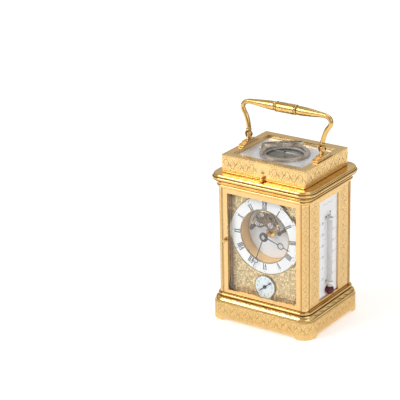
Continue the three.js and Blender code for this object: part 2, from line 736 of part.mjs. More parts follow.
function thirdWheel() {
  return toothedWheel(30, third.wheel, -11, -9.9)
    .add(toothedWheel(8, third.pinion, -7.4, -3.4, 1.1))
    .add(rod('y', 0.9, arborFront, arborBack, [0, 0], 10));
}

// The minute wheel of the motion work, behind the dial floor.
function minuteWheel() {
  return toothedWheel(24, minute.wheel, -19.3, -18.5)
    .add(rod('y', 0.9, -19.5, movement.frontPlate + movement.thick, [0, 0], 10));
}

function gongCoil() {
  const { outer, pitch, turns, wire, y, centreZ } = gong;
  const stepsPerTurn = 22;
  const points = [];
  for (let step = 0; step <= turns * stepsPerTurn; step++) {
    const angle = 2 * Math.PI * step / stepsPerTurn;
    const radius = outer - pitch * step / stepsPerTurn;
    points.push(new THREE.Vector3(radius * Math.cos(angle), y, radius * Math.sin(angle)));
  }
  const half = wire / 2;
  const section = polygon([[-half, -half], [half, -half], [half, half], [-half, half]]);
  const geometry = new THREE.ExtrudeGeometry(section, {
    steps: points.length - 1, bevelEnabled: false, extrudePath: new THREE.CatmullRomCurve3(points),
  });
  const end = points[points.length - 1];
  const backFace = movement.backPlate + movement.thick + GAP;
  const foot = block(-2.2, 2.2, backFace, y + 1.5, -2.2, 2.2).translate([end.x, 0, end.z]);
  return solid(geometry).add(foot).translate([0, 0, centreZ]);
}

// The hammer swings on its stud and strikes the outer turn of the gong.
function hammerArm() {
  const y0 = movement.backPlate + movement.thick + GAP;
  const rise = hammer.headZ - hammer.z;
  const arm = block(-0.8, 0.8, y0 + 1.6, y0 + 2.8, 0, rise);
  const head = rod('x', hammer.headRadius, -6.4, 0.8, [gong.y, rise], 14);
  return arm
    .add(head)
    .add(rod('y', 2, y0, y0 + 3, [0, 0], 14))
    .subtract(rod('y', 0.8 + GAP, y0 - THROUGH, y0 + 6, [0, 0], 10));
}

place('front_plate', frontPlate(), brass);
place('back_plate', backPlate(), brass);
for (const [side, sign] of Object.entries(sides)) {
  place(`pillar_lower_${side}`, pillar(), brass, [sign * movement.pillarX, 0, movement.pillarLow]);
  place(`pillar_upper_${side}`, pillar(), brass, [sign * movement.pillarX, 0, movement.pillarHigh]);
}
place('going_barrel', barrel(), brass, [-movement.barrelX, 0, movement.barrelZ]);
place('striking_barrel', barrel(), brass, [movement.barrelX, 0, movement.barrelZ]);
place('centre_wheel', centreWheel(), brass, dialArbor);
place('third_wheel', thirdWheel(), brass, [third.x, 0, third.z]);
place('minute_wheel', minuteWheel(), brass, [minute.x, 0, minute.z]);
place('gong', gongCoil(), bluedSteel);
place('hammer', hammerArm(), steel, [hammer.x, 0, hammer.z]);

// ---------------------------------------------------------------------------------------------------
// Repeat button
// ---------------------------------------------------------------------------------------------------

function repeatButton() {
  const { shaft, head, front, headBack, innerEnd } = button;
  return turned('y', [
    [0, -front], [head - 0.5, -front], [head, 0.4 - front], [head, -headBack], [shaft, -headBack],
    [shaft, -innerEnd], [0, -innerEnd],
  ], 14);
}

place('repeat_button', repeatButton(), gilt, [0, 0, button.z]);

// ---------------------------------------------------------------------------------------------------
// Handle
// ---------------------------------------------------------------------------------------------------

// A mount: two steps on the rim, and a rounded lug that carries the handle's pin.
function handleMount() {
  const low = box.top + GAP;
  const stepTop = low + 1.9;
  const lugRadius = 2.2;
  const plate = block(-3, 3.3, -12, 12, low, stepTop)
    .add(block(-2.6, 2.9, -7, 7, stepTop - 0.1, stepTop + 1.7))
    .add(block(-handle.lug, handle.lug, -lugRadius, lugRadius, stepTop, handle.pivotZ));
  return plate
    .add(rod('x', lugRadius, -handle.lug, handle.lug, [0, handle.pivotZ], 16))
    .subtract(rod('x', handle.pin + GAP, -4, 4, [0, handle.pivotZ], 12));
}

// The terminal: a ball, split by a slot for the lug, under a collar.
function handleTerminal() {
  const { ball, slot, pin, pivotZ } = handle;
  const knuckle = turned('z', [
    [0, -ball], [2, -0.82 * ball], [3, -0.52 * ball], [ball, 0], [3, 0.52 * ball], [1.7, 3.1],
    [1.7, 3.4], [2.6, 3.7], [2.6, 4.5], [1.7, 4.9], [handle.arm, 6.2], [0, 6.2],
  ], 12).translate([0, 0, pivotZ]);
  return knuckle
    .subtract(block(-slot, slot, -4, 4, pivotZ - 5, pivotZ + 2.6))
    .subtract(rod('x', pin + GAP, -5, 5, [0, pivotZ], 10));
}

function handleArm(sign) {
  const { pivotX, arm, gripZ } = handle;
  const curve = new THREE.CatmullRomCurve3([
    [pivotX, 163], [pivotX + 1.3, 168], [pivotX + 3.2, 173], [pivotX + 6, 177.2], [pivotX + 7, 180.4],
    [pivotX + 5.6, 183.6], [pivotX + 2.2, 185.2], [pivotX - 1, gripZ],
  ].map(([x, z]) => new THREE.Vector3(sign * x, 0, z)));
  return solid(new THREE.ExtrudeGeometry(disc(arm), {
    steps: 14, curveSegments: 5, bevelEnabled: false, extrudePath: curve,
  }));
}

// The grip swells from each arm to the engraved barrel in the middle, between two collars.
function handleGrip() {
  const half = [[2.1, 36], [2.4, 33], [3.4, 23.5], [4, 14], [3.9, 11], [3.2, 10.4], [4.6, 9.9], [4.6, 9],
    [3.7, 8.6], [handle.grip, 8.2]];
  const far = half.map(([radius, x]) => [radius, -x]);
  const near = [...half].reverse();
  return turned('x', [[0, -36], ...far, ...near, [0, 36]], 12).translate([0, 0, handle.gripZ]);
}

// The whole handle leans back a little on its pins.
function wholeHandle() {
  let whole = handleGrip();
  for (const sign of Object.values(sides)) {
    whole = whole.add(handleArm(sign)).add(handleTerminal().translate([sign * handle.pivotX, 0, 0]));
  }
  const { lean, pivotZ } = handle;
  return whole.translate([0, 0, -pivotZ]).rotate([-lean, 0, 0]).translate([0, 0, pivotZ]);
}

place('handle', wholeHandle(), gilt);
for (const [side, sign] of Object.entries(sides)) {
  const half = sign < 0 ? Math.PI : 0;
  place(`handle_mount_${side}`, handleMount(), gilt, [sign * handle.pivotX, 0, 0], [0, 0, half]);
  place(`handle_pin_${side}`, rod('x', handle.pin, -2.6, 2.6, [0, 0], 12), steel,
    [sign * handle.pivotX, 0, handle.pivotZ]);
}

// ---------------------------------------------------------------------------------------------------
// Sundial and compass, in the window of the upper box
// ---------------------------------------------------------------------------------------------------

// A silvered plate with the compass bowl sunk in it, the needle's pivot and a small stop for the ring.
function sundialPlate() {
  const { plateHalfX, plateHalfY, plateTop, plateThick, bowl, bowlDepth, needleZ } = sundial;
  const bottom = plateTop - plateThick;
  const bowlFloor = plateTop - bowlDepth;
  return block(-plateHalfX, plateHalfX, -plateHalfY, plateHalfY, bottom, plateTop)
    .add(rod('z', bowl + 1, bowlFloor - 1, bottom + 0.1, [0, 0], 36))
    .subtract(rod('z', bowl, bowlFloor, plateTop + THROUGH, [0, 0], 36))
    .add(rod('z', 0.4, bowlFloor - 0.1, needleZ - GAP, [0, 0], 8))
    .add(block(-24.6, -21.9, -2.2, 1, plateTop - 0.1, 149.4));
}

function compassNeedle() {
  const { needle } = sundial;
  const blade = polygon([[-needle, 0], [0, -1.3], [needle, 0], [0, 1.3]]);
  return slabXY(blade, 0, 0.5).add(rod('z', 1.3, 0, 1.1, [0, 0], 12));
}

function compassRing() {
  const { ringInner, ringOuter, ringBottom, ringTop } = sundial;
  return turnedRing('z', [
    [ringInner, ringBottom], [ringOuter, ringBottom], [ringOuter, ringTop], [ringInner, ringTop],
  ]);
}

function hourRing() {
  const { hourOuter, hourInner, hourHeight } = sundial;
  return turnedRing('z', [[hourInner, 0], [hourOuter, 0], [hourOuter, hourHeight], [hourInner, hourHeight]])
    .translate([-hourOuter, 0, 0]);
}

place('sundial_plate', sundialPlate(), silvered);
place('compass_needle', compassNeedle(), steel, [0, 0, sundial.needleZ]);
place('compass_ring', compassRing(), silvered);

// The hour ring is hinged on the compass ring's edge and stands tilted over it.
const azimuth = new THREE.Group();
azimuth.position.set(...sundial.hourCentre, 0);
azimuth.rotation.z = radians(sundial.hinge);
clock.add(azimuth);
const hourHinge = [sundial.hourOuter, 0, sundial.ringTop + GAP];
place('hour_ring', hourRing(), silvered, hourHinge, [0, radians(sundial.tilt), 0], azimuth);

export default clock;
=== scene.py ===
"""Fine shapes and finishes for the carriage clock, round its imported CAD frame.

Shapes are worked out in millimetres, and become meshes in metres when a piece is made.
"""

import json
import math

import bmesh
import bpy
from mathutils import Matrix, Vector


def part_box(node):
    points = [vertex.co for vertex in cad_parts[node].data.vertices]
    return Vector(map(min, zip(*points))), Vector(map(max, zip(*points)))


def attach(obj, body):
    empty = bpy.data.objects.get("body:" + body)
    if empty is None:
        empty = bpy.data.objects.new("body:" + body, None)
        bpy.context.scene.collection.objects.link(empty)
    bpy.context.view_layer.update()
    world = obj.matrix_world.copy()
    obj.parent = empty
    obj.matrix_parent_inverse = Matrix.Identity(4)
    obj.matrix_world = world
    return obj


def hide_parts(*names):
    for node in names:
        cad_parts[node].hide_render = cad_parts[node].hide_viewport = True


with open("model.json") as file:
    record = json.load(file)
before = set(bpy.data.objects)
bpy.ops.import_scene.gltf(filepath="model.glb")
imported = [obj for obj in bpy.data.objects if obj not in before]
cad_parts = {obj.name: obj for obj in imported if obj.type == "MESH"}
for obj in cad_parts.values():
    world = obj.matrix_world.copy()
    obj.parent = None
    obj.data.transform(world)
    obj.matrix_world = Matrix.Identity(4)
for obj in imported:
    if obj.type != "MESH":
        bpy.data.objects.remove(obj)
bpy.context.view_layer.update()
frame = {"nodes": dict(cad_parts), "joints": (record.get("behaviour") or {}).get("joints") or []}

MM = 0.001
TAU = 2 * math.pi
X, Y, Z = Vector((1, 0, 0)), Vector((0, 1, 0)), Vector((0, 0, 1))
SIDES = {"left": -1, "right": 1}


def box(node):
    """Lowest and highest corner of a CAD node, in millimetres."""
    low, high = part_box(node)
    return low / MM, high / MM


# ----------------------------------------------------------------------------------------------
# Camera, floor and light
# ----------------------------------------------------------------------------------------------

CAMERA_PLACE = (0.75328, -1.21108, 0.6611)
CAMERA_RIGHT = (0.825523, 0.564016, -0.019963)
CAMERA_UP = (-0.189596, 0.310473, 0.931483)
CAMERA_LENS = 162


def make_camera():
    data = bpy.data.cameras.new("camera")
    data.lens = CAMERA_LENS
    data.sensor_width = 36
    data.clip_start = 0.01
    data.clip_end = 50
    camera = bpy.data.objects.new("camera", data)
    right, up = Vector(CAMERA_RIGHT), Vector(CAMERA_UP)
    turn = Matrix((right, up, right.cross(up))).transposed()
    camera.matrix_world = Matrix.Translation(CAMERA_PLACE) @ turn.to_4x4()
    bpy.context.scene.collection.objects.link(camera)
    bpy.context.scene.camera = camera


def soft_light(name, place, size, power, target=(0, 0, 0.08)):
    data = bpy.data.lights.new(name, "AREA")
    data.shape = "RECTANGLE"
    data.size, data.size_y = size
    data.energy = power
    light = bpy.data.objects.new(name, data)
    light.location = place
    light.rotation_euler = (Vector(target) - Vector(place)).to_track_quat("-Z", "Y").to_euler()
    bpy.context.scene.collection.objects.link(light)


# Brightness of the surroundings by the sine of the height over the horizon: dark low down, so
# that polished mouldings show clear lines, and bright above. The camera itself sees a plain one.
SKY = {0.0: 0.15, 0.1: 0.18, 0.2: 0.36, 0.32: 0.92, 0.45: 1.0, 0.7: 0.74, 1.0: 0.62}
BACKDROP = 0.87


def make_studio():
    world = bpy.data.worlds.new("studio")
    world.use_nodes = True
    nodes, links = world.node_tree.nodes, world.node_tree.links
    direction = nodes.new("ShaderNodeTexCoord").outputs["Generated"]
    height = nodes.new("ShaderNodeSeparateXYZ")
    links.new(direction, height.inputs[0])
    ramp = nodes.new("ShaderNodeValToRGB")
    links.new(height.outputs["Z"], ramp.inputs[0])
    stops = ramp.color_ramp.elements
    while len(stops) < len(SKY):
        stops.new(0.5)
    for stop, (place, level) in zip(stops, SKY.items()):
        stop.position = place
        stop.color = (level, 0.985 * level, 0.96 * level, 1)
    background = nodes["Background"]
    links.new(ramp.outputs["Color"], background.inputs["Color"])
    background.inputs["Strength"].default_value = 0.7
    backdrop = nodes.new("ShaderNodeBackground")
    backdrop.inputs["Color"].default_value = (*[BACKDROP] * 3, 1)
    shown = nodes.new("ShaderNodeMixShader")
    links.new(nodes.new("ShaderNodeLightPath").outputs["Is Camera Ray"], shown.inputs[0])
    links.new(background.outputs[0], shown.inputs[1])
    links.new(backdrop.outputs[0], shown.inputs[2])
    links.new(shown.outputs[0], nodes["World Output"].inputs["Surface"])
    bpy.context.scene.world = world
    bpy.context.scene.view_settings.view_transform = "Standard"
    soft_light("key", (-0.9, -1.2, 1.2), (0.9, 0.9), 13)
    soft_light("fill", (1.2, -0.5, 0.8), (0.9, 0.6), 2)
    soft_light("top", (0.1, 0.35, 1.5), (1.0, 0.7), 4)


# ----------------------------------------------------------------------------------------------
# Materials
# ----------------------------------------------------------------------------------------------


class Finish:
    """A Principled material in the making, with patterns sized in millimetres."""

    def __init__(self, name, colour, metallic, roughness):
        self.material = bpy.data.materials.new(name)
        self.material.use_nodes = True
        self.tree = self.material.node_tree
        self.shader = self.tree.nodes["Principled BSDF"]
        self.coordinates = self.tree.nodes.new("ShaderNodeTexCoord").outputs["Object"]
        self.set("Base Color", (*colour, 1))
        self.set("Metallic", metallic)
        self.set("Roughness", roughness)
        self.colour = colour
        self.roughness = roughness

    def node(self, kind, inputs=(), **settings):
        made = self.tree.nodes.new("ShaderNode" + kind)
        for key, value in settings.items():
            setattr(made, key, value)
        for key, value in dict(inputs).items():
            if isinstance(value, bpy.types.NodeSocket):
                self.tree.links.new(value, made.inputs[key])
            else:
                made.inputs[key].default_value = value
        return made

    def set(self, socket, value):
        self.shader.inputs[socket].default_value = value

    def link(self, output, socket):
        self.tree.links.new(output, self.shader.inputs[socket])

    def noise(self, size, detail=3, stretch=(1, 1, 1)):
        """Cloudy noise from about 0.3 to 0.7, with patches of the given size."""
        mapped = self.node("Mapping", {"Vector": self.coordinates, "Scale": stretch})
        inputs = {"Vector": mapped.outputs["Vector"], "Scale": 1 / (size * MM), "Detail": detail}
        return self.node("TexNoise", inputs).outputs["Fac"]

    def spread(self, value, low, high, start=0.35, end=0.65):
        inputs = {"Value": value, "From Min": start, "From Max": end, "To Min": low, "To Max": high}
        return self.node("MapRange", inputs).outputs["Result"]

    def blend(self, factor, first, second):
        """A colour between two, each an output or an (r, g, b)."""
        mix = self.node("Mix", data_type="RGBA")
        self.tree.links.new(factor, mix.inputs[0])
        for index, colour in ((6, first), (7, second)):
            if isinstance(colour, bpy.types.NodeSocket):
                self.tree.links.new(colour, mix.inputs[index])
            else:
                mix.inputs[index].default_value = (*colour, 1)
        return mix.outputs[2]

    def tinted(self, other, size):
        """The base colour wanders to another one, in patches."""
        self.tone = self.blend(self.spread(self.noise(size), 0, 1), self.colour, other)
        self.link(self.tone, "Base Color")
        return self

    def grimed(self, grime_and_shade, reach, strength=1.0):
        """Painted shade and grime: darker where the piece's own relief closes in on the surface."""
        inputs = {"Distance": reach * MM}
        hollow = self.node("AmbientOcclusion", inputs, samples=6, only_local=True).outputs["AO"]
        amount = self.spread(hollow, strength, 0, 0.35, 0.95)
        self.tone = self.blend(amount, self.tone, grime_and_shade)
        self.link(self.tone, "Base Color")
        return self

    def polished(self, size, swing, stretch=(1, 1, 1)):
        """The roughness wanders by the given swing either way."""
        value = self.noise(size, 4, stretch)
        low, high = max(self.roughness - swing, 0.02), self.roughness + swing
        self.link(self.spread(value, low, high), "Roughness")
        return self

    def bumped(self, size, depth, stretch=(1, 1, 1), kind="noise"):
        """A relief with the given grain size and depth; kind is noise or stipple."""
        if kind == "stipple":
            mapped = self.node("Mapping", {"Vector": self.coordinates, "Scale": stretch})
            inputs = {"Vector": mapped.outputs["Vector"], "Scale": 1 / (size * MM)}
            height = self.node("TexVoronoi", inputs).outputs["Distance"]
        else:
            height = self.noise(size, 2, stretch)
        bump = self.node("Bump", {"Height": height, "Distance": depth * MM, "Strength": 1.0})
        self.link(bump.outputs["Normal"], "Normal")
        return self


# Dark brown for grime and painted shade in the hollows.
GRIME_AND_SHADE = (0.16, 0.07, 0.015)
GOLD = (0.86, 0.585, 0.25)
EVEN = (1, 1, 1)

# Gilt brass: name, colour, roughness, second colour, and (grime and painted shade, its reach, its
# strength) or None.
GILT = {
    "gilt": ("gilt", GOLD, 0.17, (0.8, 0.5, 0.17), (GRIME_AND_SHADE, 1.6, 0.65)),
    "handle": ("handle_gilt", (0.83, 0.56, 0.22), 0.25, (0.68, 0.42, 0.14), (GRIME_AND_SHADE, 1.2, 0.8)),
    "handle_leaf": ("handle_leaf_gilt", (0.62, 0.38, 0.12), 0.3, (0.74, 0.47, 0.17), None),
    "satin_door": ("door_gilt", GOLD, 0.3, (0.84, 0.56, 0.27), None),
    "well": ("well_gilt", (0.95, 0.65, 0.3), 0.4, (0.93, 0.62, 0.28), None),
    "bridge": ("bridge_gilt", (0.14, 0.1, 0.07), 0.32, (0.26, 0.18, 0.12),
               ((0.02, 0.015, 0.01), 0.8, 0.9)),
    # Painted highlight: a pale gilt for the raised edge line and end curls of the dark bridge.
    "bridge_edge": ("bridge_highlight_edge_gilt", (0.85, 0.68, 0.48), 0.22, (0.7, 0.5, 0.3), None),
    "rim": ("rim_gilt", (0.42, 0.33, 0.18), 0.25, (0.54, 0.42, 0.22), None),
    # Painted highlight: a lighter gilt for the swell of each leaf on the base moulding.
    "bright": ("highlight_gilt", (0.93, 0.66, 0.31), 0.24, GOLD, None),
    # Painted highlight: near-white gilt for the leaves on the dial mask.
    "mask_leaf": ("mask_highlight_leaf_gilt", (1, 0.87, 0.62), 0.22, (0.95, 0.76, 0.46), None),
    # Painted reflection and shade for the dark bands down the sides of the dial mask.
    "mask_band": ("mask_band_painted_reflection_gilt", (0.34, 0.2, 0.13), 0.45, (0.56, 0.38, 0.25), None),
}

# The others: name, colour, metallic, roughness, (second colour, size of its patches), (grime and
# painted shade, its reach, its strength) or None, (size, swing) of the polish or None, (size, depth) of
# the relief.
OTHERS = {
    "satin": ("satin_gilt", (0.9, 0.64, 0.31), 1, 0.32, ((0.78, 0.51, 0.21), 0.9),
              (GRIME_AND_SHADE, 1.2, 0.7), (5, 0.06), (0.7, 0.02)),
    # A lighter copy of the satin gilt for the upper box: painted light.
    "box": ("box_painted_light_gilt", (0.96, 0.7, 0.34), 1, 0.28, ((0.78, 0.51, 0.2), 0.9),
            (GRIME_AND_SHADE, 1.2, 0.7), (5, 0.06), (0.7, 0.03)),
    "line": ("engraved_line", (0.34, 0.2, 0.06), 1, 0.4, ((0.5, 0.32, 0.11), 1.1),
             None, (2, 0.1), (0.4, 0.03)),
    "matted": ("matted_gilt", (0.93, 0.65, 0.3), 1, 0.42, ((0.78, 0.52, 0.2), 1.2),
               (GRIME_AND_SHADE, 1.0, 0.9), (3, 0.08), (0.4, 0.05, EVEN, "stipple")),
    "mask_ground": ("mask_ground", (0.98, 0.8, 0.49), 1, 0.34, ((0.56, 0.39, 0.17), 1.8),
                    ((0.12, 0.06, 0.03), 1.0, 0.9), (3, 0.08), (0.4, 0.05, EVEN, "stipple")),
    "mask_line": ("mask_line", (0.24, 0.15, 0.05), 1, 0.35, ((0.34, 0.22, 0.08), 1.1),
                  None, (2, 0.1), (0.4, 0.03)),
    # Painted shade: a dark gilt for the moulding grooves, the hollows of the base moulding's leaves and
    # the upper box's window wall.
    "shade": ("shaded_gilt", (0.3, 0.17, 0.05), 1, 0.4, ((0.2, 0.105, 0.03), 8),
              None, (4, 0.1), (0.5, 0.02)),
    "brass": ("movement_brass", (0.72, 0.47, 0.17), 1, 0.34, ((0.68, 0.43, 0.15), 14),
              None, (6, 0.04, (8, 1, 1)), (0.4, 0.006, (6, 1, 1))),
    "silver": ("silvered", (0.84, 0.85, 0.87), 1, 0.24, ((0.74, 0.76, 0.8), 11),
               ((0.12, 0.11, 0.09), 1.0, 0.6), (4, 0.08), (0.35, 0.01)),
    "plate": ("plate_silver", (0.84, 0.86, 0.9), 0.45, 0.3, ((0.78, 0.8, 0.85), 12),
              ((0.3, 0.3, 0.3), 1.5, 0.5), (6, 0.08), (4, 0.01)),
    "ring_silver": ("ring_silver", (0.7, 0.61, 0.52), 0.9, 0.3, ((0.54, 0.46, 0.38), 3),
                    ((0.06, 0.05, 0.04), 1.2, 0.85), (2.5, 0.06), (0.5, 0.008)),
    # A darker colour for the hour ring's top and bottom faces.
    "aged": ("dark_faced_silver", (0.2, 0.19, 0.17), 1, 0.36, ((0.3, 0.28, 0.25), 5),
             ((0.06, 0.05, 0.04), 1.2, 0.8), (2.5, 0.1), (0.5, 0.02)),
    "bowl": ("compass_bowl", (0.24, 0.245, 0.21), 0.15, 0.45, ((0.32, 0.32, 0.28), 5),
             ((0.05, 0.04, 0.025), 1.6, 0.9), (3, 0.1), (0.6, 0.02)),
    "needle": ("needle_silver", (0.9, 0.88, 0.86), 0.4, 0.3, ((0.84, 0.81, 0.78), 3),
               None, (2, 0.08), (0.4, 0.008)),
    "frosted": ("frosted_silver", (0.88, 0.92, 1.0), 0.05, 0.45, ((0.84, 0.875, 0.94), 9),
                None, (3, 0.08), (0.25, 0.02, EVEN, "stipple")),
    "steel": ("polished_steel", (0.56, 0.55, 0.54), 1, 0.25, ((0.46, 0.45, 0.45), 5),
              None, (2, 0.08), (0.3, 0.01, (1, 1, 5))),
    "clip": ("wire_clip", (0.8, 0.79, 0.78), 0.8, 0.25, ((0.68, 0.67, 0.66), 2),
             None, (2, 0.08), (0.3, 0.01)),
    "blued": ("blued_steel", (0.045, 0.055, 0.1), 0.9, 0.22, ((0.02, 0.03, 0.09), 4),
              None, (2, 0.06), (0.3, 0.006)),
    "collar": ("dark_collar", (0.06, 0.055, 0.055), 0.5, 0.35, ((0.1, 0.09, 0.085), 2),
               None, (2, 0.06), (0.3, 0.01)),
    "enamel": ("white_enamel", (0.94, 0.945, 0.965), 0, 0.16, ((0.92, 0.925, 0.95), 12),
               None, (5, 0.05), (3, 0.012)),
    "pale": ("alarm_enamel", (0.82, 0.89, 0.92), 0, 0.18, ((0.78, 0.86, 0.9), 8),
             None, (4, 0.05), (2, 0.01)),
    "ink": ("black_enamel", (0.02, 0.022, 0.035), 0, 0.25, ((0.035, 0.037, 0.05), 1.5),
            None, (1, 0.08), (0.5, 0.006)),
    "print": ("fine_print", (0.16, 0.16, 0.19), 0, 0.4, ((0.25, 0.25, 0.28), 2),
              None, (1, 0.08), (0.5, 0.004)),
    "glass": ("clear_glass", (0.985, 0.995, 0.99), 0, 0.0, ((0.975, 0.99, 0.985), 20),
              None, None, (18, 0.01)),
    "tube": ("tube_glass", (0.86, 0.85, 0.85), 0, 0.12, ((0.8, 0.79, 0.79), 9),
             None, None, (6, 0.02)),
    "spirit": ("red_bulb_glass", (0.06, 0.002, 0.007), 0, 0.08, ((0.12, 0.004, 0.014), 3),
               None, None, (3, 0.02)),
    "ruby": ("ruby", (0.45, 0.28, 0.3), 0, 0.08, ((0.6, 0.45, 0.45), 1),
             None, None, (0.8, 0.01)),
    "floor": ("pale_floor", (0.97, 0.97, 0.97), 0, 0.9, ((0.96, 0.96, 0.96), 300),
              None, (100, 0.05), None),
}

# Sockets of the shader that only some finishes change.
EXTRAS = {
    "well": {"Metallic": 0.55},
    "glass": {"Transmission Weight": 1, "IOR": 1.46},
    "tube": {"Transmission Weight": 0.35, "IOR": 1.3},
    "floor": {"Emission Color": (1, 1, 1, 1), "Emission Strength": 0.34},
}


def make_materials():
    rows = dict(OTHERS)
    for key, (name, colour, roughness, other, grime_and_shade) in GILT.items():
        rows[key] = (name, colour, 1, roughness, (other, 14), grime_and_shade, (5, 0.06), (2.2, 0.012))
    made = {}
    for key, (name, colour, metallic, roughness, tint, grime_and_shade, polish, relief) in rows.items():
        finish = Finish(name, colour, metallic, roughness).tinted(*tint)
        # Grime and painted shade in the hollows, where the finish has them.
        if grime_and_shade:
            finish.grimed(*grime_and_shade)
        if polish:
            finish.polished(*polish)
        if relief:
            finish.bumped(*relief)
        for socket, value in EXTRAS.get(key, {}).items():
            finish.set(socket, value)
        made[key] = finish.material
    return made


# ----------------------------------------------------------------------------------------------
# Shapes
# ----------------------------------------------------------------------------------------------


def plane(origin, u, v):
    """Maps (along u, along v, out of the plane) to a point, on a plane through origin."""
    origin, out = Vector(origin), u.cross(v)
    return lambda a, b, c=0: origin + a * u + b * v + c * out


def circle(radius, sides=32, x=0, y=0, start=0, sweep=TAU):
    """Points round a circle, or round part of one."""
    last = sides if sweep == TAU else sides + 1
    angles = [start + sweep * i / sides for i in range(last)]
    return [(x + radius * math.cos(a), y + radius * math.sin(a)) for a in angles]


def smooth(points, steps):
    """A curve through the points, with that many steps from each to the next."""
    points = [Vector(p) for p in points]
    ends = [2 * points[0] - points[1], *points, 2 * points[-1] - points[-2]]
    made = []
    for a, b, c, d in zip(ends, ends[1:], ends[2:], ends[3:]):
        for step in range(steps):
            t = step / steps
            pull = 2 * b + (c - a) * t
            bend = (2 * a - 5 * b + 4 * c - d) * t**2 + (3 * b - a - 3 * c + d) * t**3
            made.append((pull + bend) / 2)
    return [*made, points[-1]]


def rectangle(half_x, half_y):
    return [(-half_x, -half_y), (half_x, -half_y), (half_x, half_y), (-half_x, half_y)]


def rounded(half_x, half_y, radius, corner_steps=10, side_steps=1):
    """Points round a rectangle with rounded corners, with the same count for any size."""
    radius = max(radius, 0.15)
    points = []
    for quarter in range(4):
        for step in range(corner_steps + 1):
            angle = (quarter + step / corner_steps) * TAU / 4
            across = half_x - radius if quarter in (0, 3) else radius - half_x
            up = half_y - radius if quarter < 2 else radius - half_y
            points.append((across + radius * math.cos(angle), up + radius * math.sin(angle)))
        here = Vector(points[-1])
        ahead = [(radius - half_x, half_y), (-half_x, radius - half_y)]
        ahead += [(half_x - radius, -half_y), (half_x, half_y - radius)]
        for step in range(1, side_steps):
            points.append(tuple(here.lerp(Vector(ahead[quarter]), step / side_steps)))
    return points


def flat(loops, depth, bevel=0.05):
    """A flat plate about z = 0, as points and faces. Each loop lists (x, y); inner ones are holes."""
    curve = bpy.data.curves.new("flat", "CURVE")
    curve.dimensions = "2D"
    curve.fill_mode = "BOTH"
    curve.extrude = depth / 2 - bevel
    curve.bevel_depth = bevel
    curve.bevel_resolution = 1
    curve.offset = -bevel
    for loop in loops:
        spline = curve.splines.new("POLY")
        spline.points.add(len(loop) - 1)
        for point, (x, y) in zip(spline.points, loop):
            point.co = (x, y, 0, 1)
        spline.use_cyclic_u = True
    return taken(curve)


def writing(text, size, depth=0.04):
    """Figures of the given height, centred on the origin, as points and faces."""
    curve = bpy.data.curves.new("writing", "FONT")
    curve.body = text
    curve.size = size
    curve.align_x = "CENTER"
    curve.align_y = "CENTER"
    curve.extrude = depth / 2
    curve.resolution_u = 3
    return taken(curve)


def taken(curve):
    """The points and faces of a curve, which is then removed."""
    holder = bpy.data.objects.new("holder", curve)
    mesh = bpy.data.meshes.new_from_object(holder)
    points = [v.co.copy() for v in mesh.vertices]
    faces = [tuple(p.vertices) for p in mesh.polygons]
    bpy.data.objects.remove(holder)
    bpy.data.curves.remove(curve)
    bpy.data.meshes.remove(mesh)
    return points, faces


class Shape:
    """Points in millimetres, and faces that each have a material number."""

    def __init__(self):
        self.points = []
        self.faces = []
        self.numbers = []

    def add(self, points, faces, number=0, place=None):
        start = len(self.points)
        self.points += [place(*p) if place else Vector(p) for p in points]
        self.faces += [[start + i for i in face] for face in faces]
        self.numbers += [number] * len(faces)
        return self

    def loft(self, rings, number=0, closed=False, caps=False, place=None):
        """Joins each ring of points to the next one; closed joins the last to the first."""
        count, total = len(rings[0]), len(rings)
        faces = []
        for ring in range(total if closed else total - 1):
            here, there = ring * count, (ring + 1) % total * count
            for i in range(count):
                j = (i + 1) % count
                faces.append((here + i, here + j, there + j, there + i))
        if caps:
            faces.append(tuple(range(count)))
            faces.append(tuple(range((total - 1) * count, total * count)))
        return self.add([p for ring in rings for p in ring], faces, number, place)

    def lathe(self, profile, place, sides=64, number=0, closed=False):
        """Turns (radius, station) pairs about the third axis of place."""
        rings = [[(x, y, station) for x, y in circle(radius, sides)] for radius, station in profile]
        return self.loft(rings, number, closed, place=place)

    def tube(self, path, radii, sides=12, number=0, flatten=1.0):
        """A bar along a path; flatten squeezes its section across the first normal."""
        path = [Vector(p) for p in path]
        normal = None
        rings = []
        for i, point in enumerate(path):
            ahead = (path[min(i + 1, len(path) - 1)] - path[max(i - 1, 0)]).normalized()
            if normal is None:
                normal = ahead.orthogonal()
            normal = (normal - ahead * normal.dot(ahead)).normalized()
            other = ahead.cross(normal)
            section = circle(radii[i], sides)
            rings.append([point + x * flatten * normal + y * other for x, y in section])
        return self.loft(rings, number, caps=True)

    def ridge(self, path, widths, rise, place, number=0):
        """A raised line along a flat path: three-sided, and as high as it is wide at most."""
        widest = max(widths)
        rings = []
        for i, (u, v) in enumerate(path):
            back, ahead = path[max(i - 1, 0)], path[min(i + 1, len(path) - 1)]
            du, dv = ahead[0] - back[0], ahead[1] - back[1]
            length = math.hypot(du, dv) or 1
            half = widths[i] / 2
            across = (-dv / length * half, du / length * half)
            rings.append([
                place(u - across[0], v - across[1], -0.04),
                place(u, v, rise * widths[i] / widest),
                place(u + across[0], v + across[1], -0.04),
            ])
        return self.loft(rings, number, caps=True)

    def engrave(self, ribbons, rise, place, number=0):
        for path, widths in ribbons:
            self.ridge(path, widths, rise, place, number)
        return self


def mesh_of(name, shape, materials=(), scale=1.0):
    mesh = bpy.data.meshes.new(name)
    mesh.from_pydata(shape.points, [], shape.faces)
    for material in materials:
        mesh.materials.append(material)
    mesh.polygons.foreach_set("material_index", shape.numbers)
    work = bmesh.new()
    work.from_mesh(mesh)
    bmesh.ops.remove_doubles(work, verts=work.verts, dist=1e-4)
    bmesh.ops.recalc_face_normals(work, faces=work.faces)
    work.transform(Matrix.Scale(scale, 4))
    work.to_mesh(mesh)
    work.free()
    return mesh


